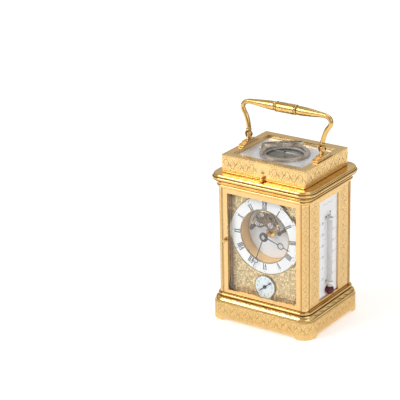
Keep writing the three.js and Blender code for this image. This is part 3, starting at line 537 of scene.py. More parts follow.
def cut(shape, cutter):
    """The shape with another one taken out of it."""
    whole, tool = [bpy.data.objects.new("work", mesh_of("work", s)) for s in (shape, cutter)]
    for part in (whole, tool):
        bpy.context.scene.collection.objects.link(part)
    modifier = whole.modifiers.new("cut", "BOOLEAN")
    modifier.object = tool
    modifier.solver = "EXACT"
    graph = bpy.context.evaluated_depsgraph_get()
    mesh = bpy.data.meshes.new_from_object(whole.evaluated_get(graph))
    points = [v.co.copy() for v in mesh.vertices]
    faces = [tuple(p.vertices) for p in mesh.polygons]
    for part in (whole, tool):
        bpy.data.meshes.remove(part.data)
    bpy.data.meshes.remove(mesh)
    return Shape().add(points, faces)


def rod_cutter(place, radius, near, far):
    return Shape().lathe([(0, near), (radius, near), (radius, far), (0, far)], place, 24)


def piece(name, shape, finishes, body, stands_for=(), sharp=40):
    """Makes a shape into a piece that rides on a body."""
    mesh = mesh_of(name, shape, [materials[f] for f in finishes.split()], MM)
    mesh.shade_smooth()
    mesh.set_sharp_from_angle(angle=math.radians(sharp))
    made = bpy.data.objects.new(name, mesh)
    bpy.context.scene.collection.objects.link(made)
    made.modifiers.new("weights", "WEIGHTED_NORMAL").keep_sharp = True
    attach(made, body)
    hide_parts(*stands_for)
    return made


def keep(nodes, finish, edge=0.0):
    """CAD nodes that stay: their finish, and edges softened by a small bevel."""
    for name in nodes.split():
        node = frame["nodes"][name]
        node.data.materials.clear()
        node.data.materials.append(materials[finish])
        if not edge:
            continue
        if "custom_normal" in node.data.attributes:
            node.data.attributes.remove(node.data.attributes["custom_normal"])
        node.data.shade_smooth()
        node.modifiers.new("weld", "WELD").merge_threshold = 1e-6
        bevel = node.modifiers.new("edge", "BEVEL")
        bevel.width = edge * MM
        bevel.segments = 2
        bevel.limit_method = "ANGLE"
        bevel.angle_limit = math.radians(35)
        node.modifiers.new("weights", "WEIGHTED_NORMAL")


# ----------------------------------------------------------------------------------------------
# Scrollwork
# ----------------------------------------------------------------------------------------------


def volute(x, y, radius, start, turns, sense, width):
    """A scroll that curls in to a bud."""
    steps = round(turns * 13)
    path = []
    widths = []
    for step in range(steps + 1):
        share = step / steps
        reach = radius * (1 - 0.8 * share**0.9)
        angle = start + sense * turns * TAU * share
        path.append((x + reach * math.cos(angle), y + reach * math.sin(angle)))
        widths.append(width * (1 - 0.35 * share))
    widths[-3:] = [1.2 * width, 1.5 * width, 0.5 * width]
    return path, widths


def leaf(x, y, direction, length, bend, broad=0.34):
    """A pointed leaf that bends as it goes; broad is its width over its length."""
    path = [(x, y)]
    for step in range(4):
        angle = direction + bend * step / 3
        x += length / 4 * math.cos(angle)
        y += length / 4 * math.sin(angle)
        path.append((x, y))
    return path, [length * broad * share for share in (0.3, 0.9, 1, 0.6, 0.06)]


# Width over length of the leaves in narrow bands.
FINE = 0.17


def rinceau(length, width, pitch, thick):
    """A running scroll: a waving stem, with a volute and its leaves in each bend."""
    cells = max(1, round(length / pitch))
    pitch = length / cells
    sway = 0.34 * width
    count = cells * 8
    along = [length * (i / count - 0.5) for i in range(count + 1)]
    wave = [(u, sway * math.sin(math.pi * (u / length + 0.5) * cells)) for u in along]
    ribbons = [(wave, [thick] * len(wave))]
    radius = min(0.29 * width, 0.42 * pitch)
    for cell in range(cells):
        side = 1 if cell % 2 == 0 else -1
        u, v = (cell + 0.5) * pitch - length / 2, -side * 0.04 * width
        ribbons.append(volute(u, v, radius, side * 0.7, 1.5, -side, thick))
        for angle in (-0.9, -1.57, -2.3):
            x, y = u + radius * math.cos(angle), v + side * radius * math.sin(angle)
            ribbons.append(leaf(x, y, side * (angle - 0.5), 0.2 * width, side * 0.9, FINE))
        for shift, lean in ((-0.22, 2.2), (0.02, 1.2), (0.24, 0.8)):
            x, y = u + shift * pitch, side * 0.33 * width
            ribbons.append(leaf(x, y, side * lean, 0.2 * width, -side * 0.8, FINE))
        for lean in (0.5, 2.4):
            x = u + 0.5 * pitch
            ribbons.append(leaf(x, 0, -side * lean, 0.34 * width, side * (lean - 1.4), FINE))
        for shift in (-0.38, -0.14, 0.1, 0.34):
            for height in (-0.4, 0.46):
                x, y = u + shift * pitch, side * height * width
                ribbons.append(leaf(x, y, side * (2.4 - 3 * shift), 0.11 * width, 0.8))
    return ribbons


GOLDEN_ANGLE = math.radians(137.508)


def foliage(reach, cell, thick, inside):
    """Volutes and leaves spread evenly as on a sunflower head.

    Gives the dark lines and the bright leaves that are inside, within reach of the origin.
    """
    lines, leaves = [], []
    for seed in range(round(math.pi * (reach / cell) ** 2)):
        around, out = seed * GOLDEN_ANGLE, cell * math.sqrt((seed + 0.5) / math.pi)
        u, v = out * math.cos(around), out * math.sin(around)
        if not inside(u, v):
            continue
        sense = 1 if seed % 2 else -1
        lines.append(volute(u, v, 0.42 * cell, around, 1.2, sense, thick))
        for step in range(5):
            angle = around + TAU * step / 5
            x, y = u + 0.42 * cell * math.cos(angle), v + 0.42 * cell * math.sin(angle)
            if inside(x, y):
                ribbons = lines if step % 2 else leaves
                ribbons.append(leaf(x, y, angle + 0.5, 0.34 * cell, sense * 1.3))
    return lines, leaves


def borders(half_u, half_v, width):
    """Four thin lines round a rectangle."""
    corners = rectangle(half_u, half_v)
    pairs = zip(corners, corners[1:] + corners[:1])
    return [([a, b], [width, width]) for a, b in pairs]


make_camera()
make_studio()
materials = make_materials()

# ----------------------------------------------------------------------------------------------
# Case
# ----------------------------------------------------------------------------------------------

BODY_CORNER = 6
base_low, base_high = box("base_moulding")
post_low, post_high = box("corner_post_front_right")
HALF_X, HALF_Y = post_high.x, -post_low.y


def outline_lengths(outline):
    lengths = [0]
    for a, b in zip(outline, outline[1:] + outline[:1]):
        lengths.append(lengths[-1] + math.dist(a, b))
    return lengths


def stacked(*members):
    """Joins the members of a moulding, with a narrow groove between each two."""
    profile, grooves = list(members[0]), []
    for member in members[1:]:
        inner = min(profile[-1][0], member[0][0]) - 0.25
        first = len(profile) - 1
        profile += [(inner, profile[-1][1]), (inner, member[0][1]), *member]
        grooves += range(first, first + 3)
    return profile, grooves


def moulding(members, steps):
    """A moulding round the body from (offset outwards, height) pairs; its grooves are shaded."""
    profile, grooves = stacked(*members)
    rings = []
    for out, z in profile:
        outline = rounded(HALF_X + out, HALF_Y + out, BODY_CORNER + out, *steps)
        rings.append([(x, y, z) for x, y in outline])
    shape = Shape().loft(rings, closed=True)
    count = len(rings[0])
    for groove in grooves:
        shape.numbers[groove * count:(groove + 1) * count] = [1] * count
    return shape


def round_body(z, offset):
    """Maps (along the outline, up, out) to the body's outline grown by offset."""
    sizes = HALF_X + offset, HALF_Y + offset, BODY_CORNER + offset
    outline = [Vector(p) for p in rounded(*sizes, 12, 4)]
    lengths = outline_lengths(outline)

    def place(u, v, w=0):
        s = (u + lengths[-1] / 2) % lengths[-1]
        i = max(k for k in range(len(outline)) if lengths[k] <= s)
        a, b = outline[i], outline[(i + 1) % len(outline)]
        here = a.lerp(b, (s - lengths[i]) / (lengths[i + 1] - lengths[i]))
        out = Vector((b.y - a.y, a.x - b.x)).normalized()
        return Vector((here.x + out.x * w, here.y + out.y * w, z + v))

    return place, lengths[-1]


def plinth():
    """Bracket feet, a running scroll, and a relief under each side."""
    high = box("base_plinth")[1]
    foot_length, rise, ease, wall, step = 13, 2.5, 5, 8.4, 0.3
    steps = (12, 56)
    flare = high.x - HALF_X
    outline = rounded(high.x, high.y, BODY_CORNER + flare, *steps)

    def sole(x, y):
        across, half = (x, high.x) if abs(y) / high.y > abs(x) / high.x else (y, high.y)
        share = min(max((half - foot_length - abs(across)) / ease, 0), 1)
        return rise * math.sqrt(1 - (1 - share) ** 2)

    profile = [(-wall, None), (-0.4, None), (0, 0.4), (0, 4), (-step, 4.8), (-step, high.z - 1)]
    profile += [(-step - 0.25, high.z - 0.8), (-step, high.z - 0.6), (-step, high.z - 0.3)]
    profile += [(-0.6, high.z), (-wall, high.z)]
    rings = []
    for offset, z in profile:
        grown = rounded(high.x + offset, high.y + offset, BODY_CORNER + flare + offset, *steps)
        rings.append([(*p, sole(*q) + (z or 0) if z is None or z < 1 else z)
                      for p, q in zip(grown, outline)])
    shape = Shape().loft(rings, closed=True)
    place, length = round_body((4.4 + high.z - 1.2) / 2, flare - step)
    shape.engrave(rinceau(length, width=10.4, pitch=6.4, thick=0.42), 0.1, place, 1)
    piece("plinth", shape, "matted line", "case", ["base_plinth"])


def lower_moulding():
    """A sloping band wrapped with slanting leaves, under a bead."""
    z = base_low.z
    slope = [(5.2, z + 0.7), (4.9, z + 1.5), (4.4, z + 2.3), (3.7, z + 3.1), (2.9, z + 3.8)]
    slope.append((2.3, z + 4.2))
    bead = [(1.5 + math.cos(a), z + 6 + 1.05 * math.sin(a))
            for a in (math.radians(d) for d in range(-80, 81, 20))]
    foot = [(-6, z), (5, z), (5.2, z + 0.2)]
    deck_edge = [(1.4, base_high.z - 0.2), (1.3, base_high.z), (-6, base_high.z)]
    members = [[*foot, *slope], [(1.6, z + 4.5), *bead], deck_edge]
    shape = moulding(members, (16, 2))
    floor_x, floor_y = HALF_X - 5, HALF_Y - 5
    deck = [[(x, y, height) for x, y in rounded(floor_x, floor_y, 1, 2)] for height in (z + 2, z + 5)]
    shape.loft(deck, caps=True)
    around, length = round_body(0, 0)
    heights = [0]
    for low, high in zip(slope, slope[1:]):
        heights.append(heights[-1] + math.dist(low, high))

    def on_slope(u, v, w=0):
        row = max(i for i in range(len(slope) - 1) if heights[i] <= max(v, 0))
        low, high = slope[row], slope[row + 1]
        share = (v - heights[row]) / (heights[row + 1] - heights[row])
        out = low[0] + share * (high[0] - low[0])
        up = low[1] + share * (high[1] - low[1])
        return around(u, up + 0.6 * w, out + 0.8 * w)

    leaves = 32
    for step in range(leaves):
        u = length * (step / leaves - 0.5)
        # Each leaf has its hollow in painted shade and its swell in a lighter painted-highlight gilt.
        hollow = [(u + 1.5 * i - 5.2, 3.6 - 0.38 * i) for i in range(7)]
        shape.ridge(hollow, [0.1, 0.5, 1, 1.2, 1.1, 0.7, 0.1], 0.08, on_slope, 1)
        swell = [(u + 1.5 * i - 1.4, 3.9 - 0.42 * i) for i in range(7)]
        shape.ridge(swell, [0.2, 1.4, 2.4, 2.8, 2.4, 1.4, 0.2], 0.3, on_slope, 2)
    piece("base_moulding_leafed", shape, "gilt shade bright", "case",
          ["base_moulding"], sharp=55)


def upper_moulding():
    """The cornice: a bead, a rising hollow, a half round and a sloping ledge."""
    low, high = box("cornice")
    z = low.z
    bead = [(1.4 + math.cos(a), z + 1.5 + 1.25 * math.sin(a))
            for a in (math.radians(d) for d in range(-75, 76, 15))]
    hollow = smooth([(2, z + 3.6), (2.3, z + 4.3), (3.2, z + 5.3), (4.4, z + 6.4), (5.7, z + 7.2)], 4)
    nose = [(5.55 + 0.75 * math.cos(a), z + 8.85 + 1.05 * math.sin(a))
            for a in (math.radians(d) for d in range(-75, 76, 15))]
    ledge = [(5.15, z + 10.4), (5.2, z + 10.7), (5, z + 11.4), (4.5, z + 12.1), (3.9, high.z)]
    ledge.append((-8, high.z))
    hollow = [(1.7, z + 3), (1.7, z + 3.4), *(tuple(point) for point in hollow)]
    members = [[(-8, z), (1, z), *bead], hollow, nose, ledge]
    piece("cornice_moulded", moulding(members, (14, 2)), "gilt shade", "case",
          ["cornice"], sharp=50)


def corner_posts():
    """Quarter-round posts between two narrow grooves, with a scroll down the round."""
    low, high = box("corner_post_front_right")
    outer, inner = Vector((high.x, -low.y)), Vector((low.x, -high.y))
    radius, groove = 4.5, 0.5
    centre = outer - Vector((radius, radius))
    plan = [(inner.x, inner.y), (outer.x, inner.y), (outer.x, centre.y - 0.9)]
    plan += [(outer.x - groove, centre.y - 0.9), (outer.x - groove, centre.y), (outer.x, centre.y)]
    plan += circle(radius, 12, *centre, 0, TAU / 4)
    plan += [(centre.x, outer.y - groove), (inner.x + 0.5, outer.y - groove)]
    plan += [(inner.x + 0.5, outer.y), (inner.x, outer.y)]
    scroll = rinceau(high.z - low.z - 3, width=5.6, pitch=4.2, thick=0.36)
    for end, sign_y in (("front", -1), ("rear", 1)):
        for side, sign_x in SIDES.items():

            def bend(u, v, w=0):
                angle = TAU / 8 + v / radius
                x = centre.x + (radius + w) * math.cos(angle)
                y = centre.y + (radius + w) * math.sin(angle)
                return Vector((sign_x * x, sign_y * y, (low.z + high.z) / 2 + u))

            rings = [[(sign_x * x, sign_y * y, z) for x, y in plan] for z in (low.z, high.z)]
            shape = Shape().loft(rings, caps=True)
            shape.engrave(scroll, 0.08, bend, 1)
            reach = (high.z - low.z) / 2 - 1
            for v in (-3.1, 3.1):
                shape.ridge([(-reach, v), (reach, v)], [0.25, 0.25], 0.08, bend, 1)
            stood = f"corner_post_{end}_{side}"
            piece(f"{stood}_engraved", shape, "satin line", "case", [stood])


def side_panels():
    """A flat frame at each side, with a scroll up each of its stiles."""
    for side, sign in SIDES.items():
        low, high = box(f"{side}_side_panel")
        face = high.x if sign > 0 else low.x
        middle = (low.z + high.z) / 2
        filling = box("thermometer_plate" if sign > 0 else "left_side_glass")
        margin = 0.3
        open_y = filling[1].y + margin
        open_z = (filling[0].z - margin, filling[1].z + margin)
        depth = high.x - low.x
        opening = [(-open_y, open_z[0] - middle), (open_y, open_z[0] - middle)]
        opening += [(open_y, open_z[1] - middle), (-open_y, open_z[1] - middle)]
        half = (high.y, (high.z - low.z) / 2)
        shape = Shape().add(*flat([rectangle(*half), opening], depth, 0.15), place=plane(
            (face - sign * depth / 2, 0, middle), sign * Y, Z))
        stile = (half[0] + open_y) / 2
        width = half[0] - open_y
        band = min(width - 2, 11)
        tall = half[1] - 3
        for across in (-stile, stile):
            on_stile = plane((face, sign * across, middle), Z, -sign * Y)
            scroll = rinceau(2 * tall - 3, width=band - 1, pitch=0.62 * band, thick=0.4)
            shape.engrave(scroll, 0.1, on_stile, 1)
            shape.engrave(borders(tall, band / 2 + 0.3, width=0.3), 0.06, on_stile, 1)
        piece(f"{side}_panel_engraved", shape, "satin line", "case",
              [f"{side}_side_panel"])


def palmette(place, shape, number):
    """A fan of seven leaves, with two small ones at each side."""
    for step in range(-3, 4):
        angle = TAU / 4 + step * 0.42
        length = 4.2 - 0.5 * abs(step)
        shape.engrave([leaf(0, -2, angle, length, step * -0.15, FINE)], 0.1, place, number)
    for side in (-1, 1):
        for lift in (-1.2, 0.6):
            sprig = leaf(side * 6.2, lift, TAU / 4 - side * 0.5, 2.6, side * 0.5)
            shape.engrave([sprig], 0.1, place, number)


def upper_box():
    """The box over the cornice: scrolls on its four sides and a plain rim round the window."""
    low, high = box("upper_box")
    rim, wall, under = 7.2, 4, high.z - 2.5
    half = high.xy
    profile = [(-wall, low.z), (-0.15, low.z), (0, low.z + 0.2), (0, low.z + 1), (-0.18, low.z + 1.15)]
    profile += [(0, low.z + 1.3), (0, high.z - 1.3), (-0.18, high.z - 1.15), (0, high.z - 1)]
    profile += [(0, high.z - 0.4), (-0.12, high.z - 0.12), (-0.4, high.z), (0.5 - rim, high.z)]
    profile += [(0.12 - rim, high.z - 0.12), (-rim, high.z - 0.5), (-rim, under), (-wall, under)]
    window = range(len(profile) - 3, len(profile) - 1)
    rings = [[(x, y, z) for x, y in rounded(half.x + out, half.y + out, 1 + out, 4, 2)]
             for out, z in profile]
    shaft = box("repeat_button")
    button_z = (shaft[0].z + shaft[1].z) / 2
    bore_radius = 1.4
    bore_axis = plane((0, 0, button_z), X, Z)
    bore = rod_cutter(bore_axis, bore_radius, half.y - wall - 1, half.y + 1)
    shape = Shape().loft(rings, closed=True)
    count = len(rings[0])
    # The window's inner wall gets the painted-shade finish.
    for row in window:
        shape.numbers[row * count:(row + 1) * count] = [2] * count
    shape = cut(shape, bore)
    middle = (low.z + high.z) / 2 + 0.3
    faces = [(-Y, X, half.y, half.x), (Y, -X, half.y, half.x), (X, Y, half.x, half.y),
             (-X, -Y, half.x, half.y)]
    scroll = {"width": 11.4, "pitch": 6.4, "thick": 0.5}
    for out, along, reach, half_along in faces:
        place = plane(out * reach + Z * middle, along, Z)
        if out == -Y:
            span = half_along - 9.5
            for shift in (-1, 1):
                part = plane(out * reach + Z * middle + along * shift * (span / 2 + 8), along, Z)
                shape.engrave(rinceau(span, **scroll), 0.12, part, 1)
            palmette(plane(out * reach + Z * (middle - 0.6), X, Z), shape, 1)
        else:
            shape.engrave(rinceau(2 * half_along - 5, **scroll), 0.12, place, 1)
    # The box's gilt is a lighter copy of the satin gilt, painted light.
    piece("upper_box_engraved", shape, "box line shade", "case",
          ["upper_box"])


def thermometer():
    """Printed plate, glass tube with its thread, red bulb and wire clips."""
    high = box("thermometer_plate")[1]
    tube_low, tube_high = box("thermometer_tube")
    bulb = (tube_high.y - tube_low.y) / 2
    axis_x = tube_high.x - bulb
    bulb_z = tube_low.z + bulb
    bore = 1.9
    keep("thermometer_plate", "enamel", edge=0.15)
    print_place = plane((high.x + 0.02, 0, 0), Y, Z)
    marks = Shape()
    scale_low, scale_high, divisions = 43, 94, 50
    for division in range(divisions + 1):
        z = scale_low + (scale_high - scale_low) * division / divisions
        long = 2 if division % 5 == 0 else 1.2
        thick = 0.3 if division % 5 == 0 else 0.16
        for side in (-1, 1):
            ends = [(side * 3.4, z), (side * (3.4 + long), z)]
            marks.ridge(ends, [thick, thick], 0.03, print_place)
        if division % 10 == 0:
            figure = str(abs(division - 10))
            for side in (-1, 1):
                spot = plane((high.x + 0.03, side * 8, z), Y, Z)
                marks.add(*writing(figure, 3), place=spot)
                line = [(side * 10.2, z), (side * 14.2, z)]
                marks.ridge(line, [0.28, 0.28], 0.03, print_place)
    flourish = [(u, 110 + 0.5 * math.sin(u * 0.9)) for u in (i * 0.5 - 8 for i in range(33))]
    marks.ridge(flourish, [0.4] * len(flourish), 0.03, print_place)
    piece("thermometer_marks", marks, "print", "case")
    # Black domed dots where the clips meet the plate.
    dots = Shape()
    for y, z in ((-2.8, 98.6), (2.8, 98.6), (-2.6, 40.3)):
        dot_dome = [(0.75, 0), (0.7, 0.25), (0.4, 0.42), (0, 0.48)]
        dots.lathe(dot_dome, plane((high.x, y, z), Y, Z), 14)
    piece("thermometer_clip_dots", dots, "ink", "case")
    at = plane((axis_x, 0, 0), X, Y)
    neck = math.pi - math.asin(bore / bulb)
    around = [neck * i / 18 for i in range(19)]
    ball = [(bulb * math.sin(a), bulb_z - bulb * math.cos(a)) for a in around]
    ball[0] = (0, ball[0][1])
    shape = Shape().lathe([*ball, (0, ball[-1][1])], at, 32)
    shape.lathe([(0, bulb_z), (0.22, bulb_z + 1), (0.22, 64), (0, 64)], at, 8)
    piece("thermometer_bulb", shape, "spirit", "case")
    top = tube_high.z
    stem = [(0, ball[-1][1] + 0.05), (bore, ball[-1][1] + 0.05), (bore, top - bore)]
    stem += [(bore * math.cos(a), top - bore + bore * math.sin(a)) for a in (0.4, 0.8, 1.2)]
    shape = Shape().lathe([*stem, (0, top)], at, 28)
    piece("thermometer_stem", shape, "tube", "case", ["thermometer_tube"])
    tip = [(0.9, top - 0.3), (0.7, top + 1), (0.4, top + 2.6), (0.35, top + 3.2), (0.5, top + 3.5)]
    tip += [(0.5, top + 4), (0.3, top + 4.3), (0, top + 4.4)]
    shape = Shape().lathe([(0, top - 0.3), *tip[:4]], at, 20).lathe(tip[3:], at, 20, 1)
    piece("thermometer_tip", shape, "tube ink", "case")
    keep("thermometer_clip_lower thermometer_clip_upper", "clip", edge=0.1)


def doors():
    keep("front_door_frame rear_door_frame", "satin_door", edge=0.3)
    keep("front_door_glass rear_door_glass left_side_glass", "glass")
    keep("front_door_hinge_rod rear_door_hinge_rod", "steel")
    for end, across in (("front", X), ("rear", -X)):
        low, high = box(f"{end}_door_knob")
        tip = max(abs(low.y), abs(high.y))
        centre = (low + high) / 2
        axis = plane((centre.x, 0, (low.z + high.z) / 2), across, Z)
        profile = [(0, tip), (0.7, tip - 0.05), (1.3, tip - 0.3), (1.75, tip - 0.8), (1.88, tip - 1.2)]
        profile += [(1.7, tip - 1.6), (1.2, tip - 2), (0.9, tip - 2.4), (1, tip - 2.7)]
        profile += [(1.5, tip - 2.85), (1.5, tip - 3.1), (0.7, tip - 3.1), (0.7, tip - 7), (0, tip - 7)]
        shape = Shape().lathe(profile, axis, 32)
        inner = min(abs(low.y), abs(high.y))
        cam = [[axis(x, z, y) for x, z in ((-1.7, -0.9), (0.9, -0.9), (0.9, 0.9), (-1.7, 0.9))]
               for y in (inner, inner + 0.9)]
        shape.loft(cam, caps=True)
        piece(f"{end}_knob_turned", shape, "gilt", f"{end}_door_latch",
              [f"{end}_door_knob"])


# ----------------------------------------------------------------------------------------------
# Dial
# ----------------------------------------------------------------------------------------------

ring_low, ring_high = box("chapter_ring")
DIAL_Z = (ring_low.z + ring_high.z) / 2
RING_OUTER = ring_high.x
RING_FRONT = -ring_low.y
alarm_low, alarm_high = box("alarm_dial")
ALARM_Z = (alarm_low.z + alarm_high.z) / 2
ALARM_RADIUS = alarm_high.x


def on_dial(y, z=DIAL_Z, x=0):
    """A plane that faces the front at distance y from the clock's middle plane."""
    return plane((x, -y, z), X, Z)


def torus(shape, place, radius, thick, sides=96, number=0):
    section = [(radius + x, y) for x, y in circle(thick, 8)]
    return shape.lathe(section, place, sides, number, closed=True)


def dial_mask():
    """The engraved plate behind the dials, with a dark band of painted reflection and shade down each
    side.
    """
    low, high = box("dial_mask")
    well = box("dial_well")[1].x + 0.3
    middle = (low.z + high.z) / 2
    half = (high.x, (high.z - low.z) / 2)
    holes = [circle(well, 72, 0, DIAL_Z - middle), circle(0.9, 16, 0, ALARM_Z - middle)]
    depth = high.y - low.y
    at = on_dial(depth / 2 - high.y, middle)
    shape = Shape().add(*flat([rectangle(*half), *holes], depth, 0.1), place=at)
    band = 3

    def inside(u, v):
        """Whether a point, taken from the dial's centre, is on the open part of the plate."""
        return (math.hypot(u, v) > RING_OUTER + 0.6
                and math.hypot(u, v + DIAL_Z - ALARM_Z) > ALARM_RADIUS + 0.8
                and abs(u) < half[0] - 1 and abs(v + DIAL_Z - middle) < half[1] - 1.5)

    face = on_dial(-low.y, middle)
    scrolls = on_dial(-low.y)
    lines, leaves = foliage(reach=66, cell=4.8, thick=0.66, inside=inside)
    shape.engrave(lines, 0.1, scrolls, 1)
    # The leaves take a near-white gilt: painted highlights.
    shape.engrave(leaves, 0.3, scrolls, 2)
    # A thin dark sheet down each side: painted reflection and shade.
    for side in (-1, 1):
        edge = side * (half[0] - band / 2)
        strip = [[face(edge + du, v, w) for du, v in rectangle(band / 2, half[1])]
                 for w in (-0.2, 0.05)]
        shape.loft(strip, 3, caps=True)
        line = side * (half[0] - band)
        shape.ridge([(line, -half[1]), (line, half[1])], [0.35, 0.35], 0.12, face, 1)
    piece("dial_mask_engraved", shape, "mask_ground mask_line mask_leaf mask_band", "case",
          ["dial_mask"])


def bar(shape, place, start, end, width):
    """One straight stroke of a numeral."""
    (u0, v0), (u1, v1) = start, end
    length = math.hypot(u1 - u0, v1 - v0)
    across = ((v0 - v1) / length * width / 2, (u1 - u0) / length * width / 2)
    outline = [(u0 - across[0], v0 - across[1]), (u1 - across[0], v1 - across[1])]
    outline += [(u1 + across[0], v1 + across[1]), (u0 + across[0], v0 + across[1])]
    shape.loft([[place(u, v, w) for u, v in outline] for w in (-0.02, 0.04)], caps=True)


ADVANCE = {"I": 1.25, "V": 2.5, "X": 2.6}
ROMAN = ["XII", "I", "II", "III", "IIII", "V", "VI", "VII", "VIII", "IX", "X", "XI"]


def roman(shape, text, place, height):
    """A Roman numeral with thick and thin strokes and fine serifs, centred on the origin."""
    thick, thin, serif = 0.8, 0.34, 0.24
    top, foot = height / 2, -height / 2
    u = -sum(ADVANCE[letter] for letter in text) / 2
    for letter in text:
        wide = ADVANCE[letter]
        left, middle, right = u + 0.38, u + wide / 2, u + wide - 0.38
        if letter == "I":
            bar(shape, place, (middle, foot), (middle, top), thick)
        elif letter == "V":
            bar(shape, place, (left, top), (middle, foot), thick)
            bar(shape, place, (right, top), (middle, foot), thin)
        else:
            bar(shape, place, (left, top), (right, foot), thick)
            bar(shape, place, (right, top), (left, foot), thin)
        bar(shape, place, (u + 0.1, top), (u + wide - 0.1, top), serif)
        if letter != "V":
            bar(shape, place, (u + 0.1, foot), (u + wide - 0.1, foot), serif)
        u += wide


def spun(y, angle, z=DIAL_Z, x=0):
    """A front-facing plane whose v points away from the dial's centre at a clockwise angle."""
    along = math.sin(angle) * X + math.cos(angle) * Z
    across = math.cos(angle) * X - math.sin(angle) * Z
    return plane((x, -y, z), across, along)


def chapter_ring():
    inner = 23.7
    back = -ring_high.y
    face = on_dial(0)
    profile = [(inner, back), (RING_OUTER, back), (RING_OUTER, RING_FRONT - 0.3)]
    profile += [(RING_OUTER - 0.3, RING_FRONT - 0.08), (RING_OUTER - 0.9, RING_FRONT)]
    profile += [(inner + 0.9, RING_FRONT), (inner + 0.3, RING_FRONT - 0.08), (inner, RING_FRONT - 0.3)]
    shape = Shape().lathe(profile, face, 128, closed=True)
    piece("chapter_ring_enamel", shape, "enamel", "case", ["chapter_ring"])
    shape = Shape()
    for radius, thick in ((RING_OUTER - 0.1, 0.42), (inner + 0.1, 0.45)):
        torus(shape, on_dial(RING_FRONT - 0.12), radius, thick)
    piece("chapter_ring_edges", shape, "rim", "case")
    shape = Shape()
    for hour, text in enumerate(ROMAN):
        place = spun(RING_FRONT, TAU * hour / 12)
        roman(shape, text, lambda u, v, w, at=place: at(u, v + 27.3, w), 5.6)
    for minute in range(60):
        size = 0.36 if minute % 5 == 0 else 0.16
        place = spun(RING_FRONT, TAU * minute / 60)
        shape.lathe([(size, 0), (size, 0.04), (0, 0.05)],
                    lambda u, v, w, at=place: at(u, v + 31.9, w), 10)
    piece("dial_numerals", shape, "ink", "case")


def dial_well():
    low, high = box("dial_well")
    outer, inner = high.x, high.x - 0.8
    front, back = -low.y, -high.y
    profile = [(inner, back), (outer, back), (outer, front), (inner + 0.2, front)]
    profile += [(inner, front - 0.25), (inner, front - 9)]
    shape = Shape().lathe(profile, on_dial(0), 128, closed=True)
    piece("dial_well_turned", shape, "well", "case", ["dial_well"])
    low, high = box("dial_floor")
    profile = [(2.4, -high.y), (high.x, -high.y), (high.x, -low.y - 0.15), (high.x - 0.2, -low.y)]
    profile += [(2.7, -low.y), (2.4, -low.y - 0.2)]
    shape = Shape().lathe(profile, on_dial(0), 96, closed=True)
    piece("dial_floor_frosted", shape, "frosted", "case", ["dial_floor"])


def alarm_dial():
    front, back = -alarm_low.y, -alarm_high.y
    face = on_dial(0, ALARM_Z)
    profile = [(0.9, back), (ALARM_RADIUS, back), (ALARM_RADIUS, front - 0.3)]
    profile += [(ALARM_RADIUS - 0.4, front - 0.05), (ALARM_RADIUS - 1, front), (0.9, front)]
    shape = Shape().lathe(profile, face, 72, closed=True)
    piece("alarm_dial_enamel", shape, "pale", "case", ["alarm_dial"])
    shape = torus(Shape(), on_dial(front - 0.15, ALARM_Z), ALARM_RADIUS, 0.5, 72)
    piece("alarm_dial_rim", shape, "rim", "case")
    shape = Shape()
    for hour in range(1, 13):
        angle = TAU * hour / 12
        at = on_dial(front + 0.01, ALARM_Z + 7.2 * math.cos(angle), 7.2 * math.sin(angle))
        shape.add(*writing(str(hour), 2.5), place=at)
        dot = spun(front, angle, ALARM_Z)
        shape.lathe([(0.16, 0), (0.16, 0.04), (0, 0.05)],
                    lambda u, v, w, at=dot: at(u, v + 9.1, w), 8)
    piece("alarm_numerals", shape, "print", "case")


# ----------------------------------------------------------------------------------------------
# Hands
# ----------------------------------------------------------------------------------------------


def moon_hand(shape, angle, layer, hub, moon_at, moon, hole, length, width, z=DIAL_Z, tail=0):
    """A hand with an eccentric moon, between two distances from the clock's middle plane."""
    front, back = layer
    at = spun((front + back) / 2, angle, z)
    thick = front - back
    shaft = [(-width, 0), (width, 0), (0.6 * width, moon_at - moon + 0.2)]
    shaft += [(-0.6 * width, moon_at - moon + 0.2)]
    tip = [(-0.7 * width, moon_at + moon - 0.2), (0.7 * width, moon_at + moon - 0.2), (0.14, length)]
    tip += [(-0.14, length)]
    ring = [circle(moon, 40, 0, moon_at), circle(hole, 40, 0, moon_at + 0.15)]
    outlines = [[shaft], [tip], ring, [circle(hub, 32)]]
    if tail:
        wide = -0.55 * tail
        outlines.append([[(0.25, 0.1), (-0.25, 0.1), (-0.5, wide), (0, -tail), (0.5, wide)]])
    for loops in outlines:
        shape.add(*flat(loops, thick, min(0.05, thick / 4)), place=at)
    return shape


MINUTE_ANGLE, HOUR_ANGLE, ALARM_ANGLE = (math.radians(a) for a in (200, 108, 50))


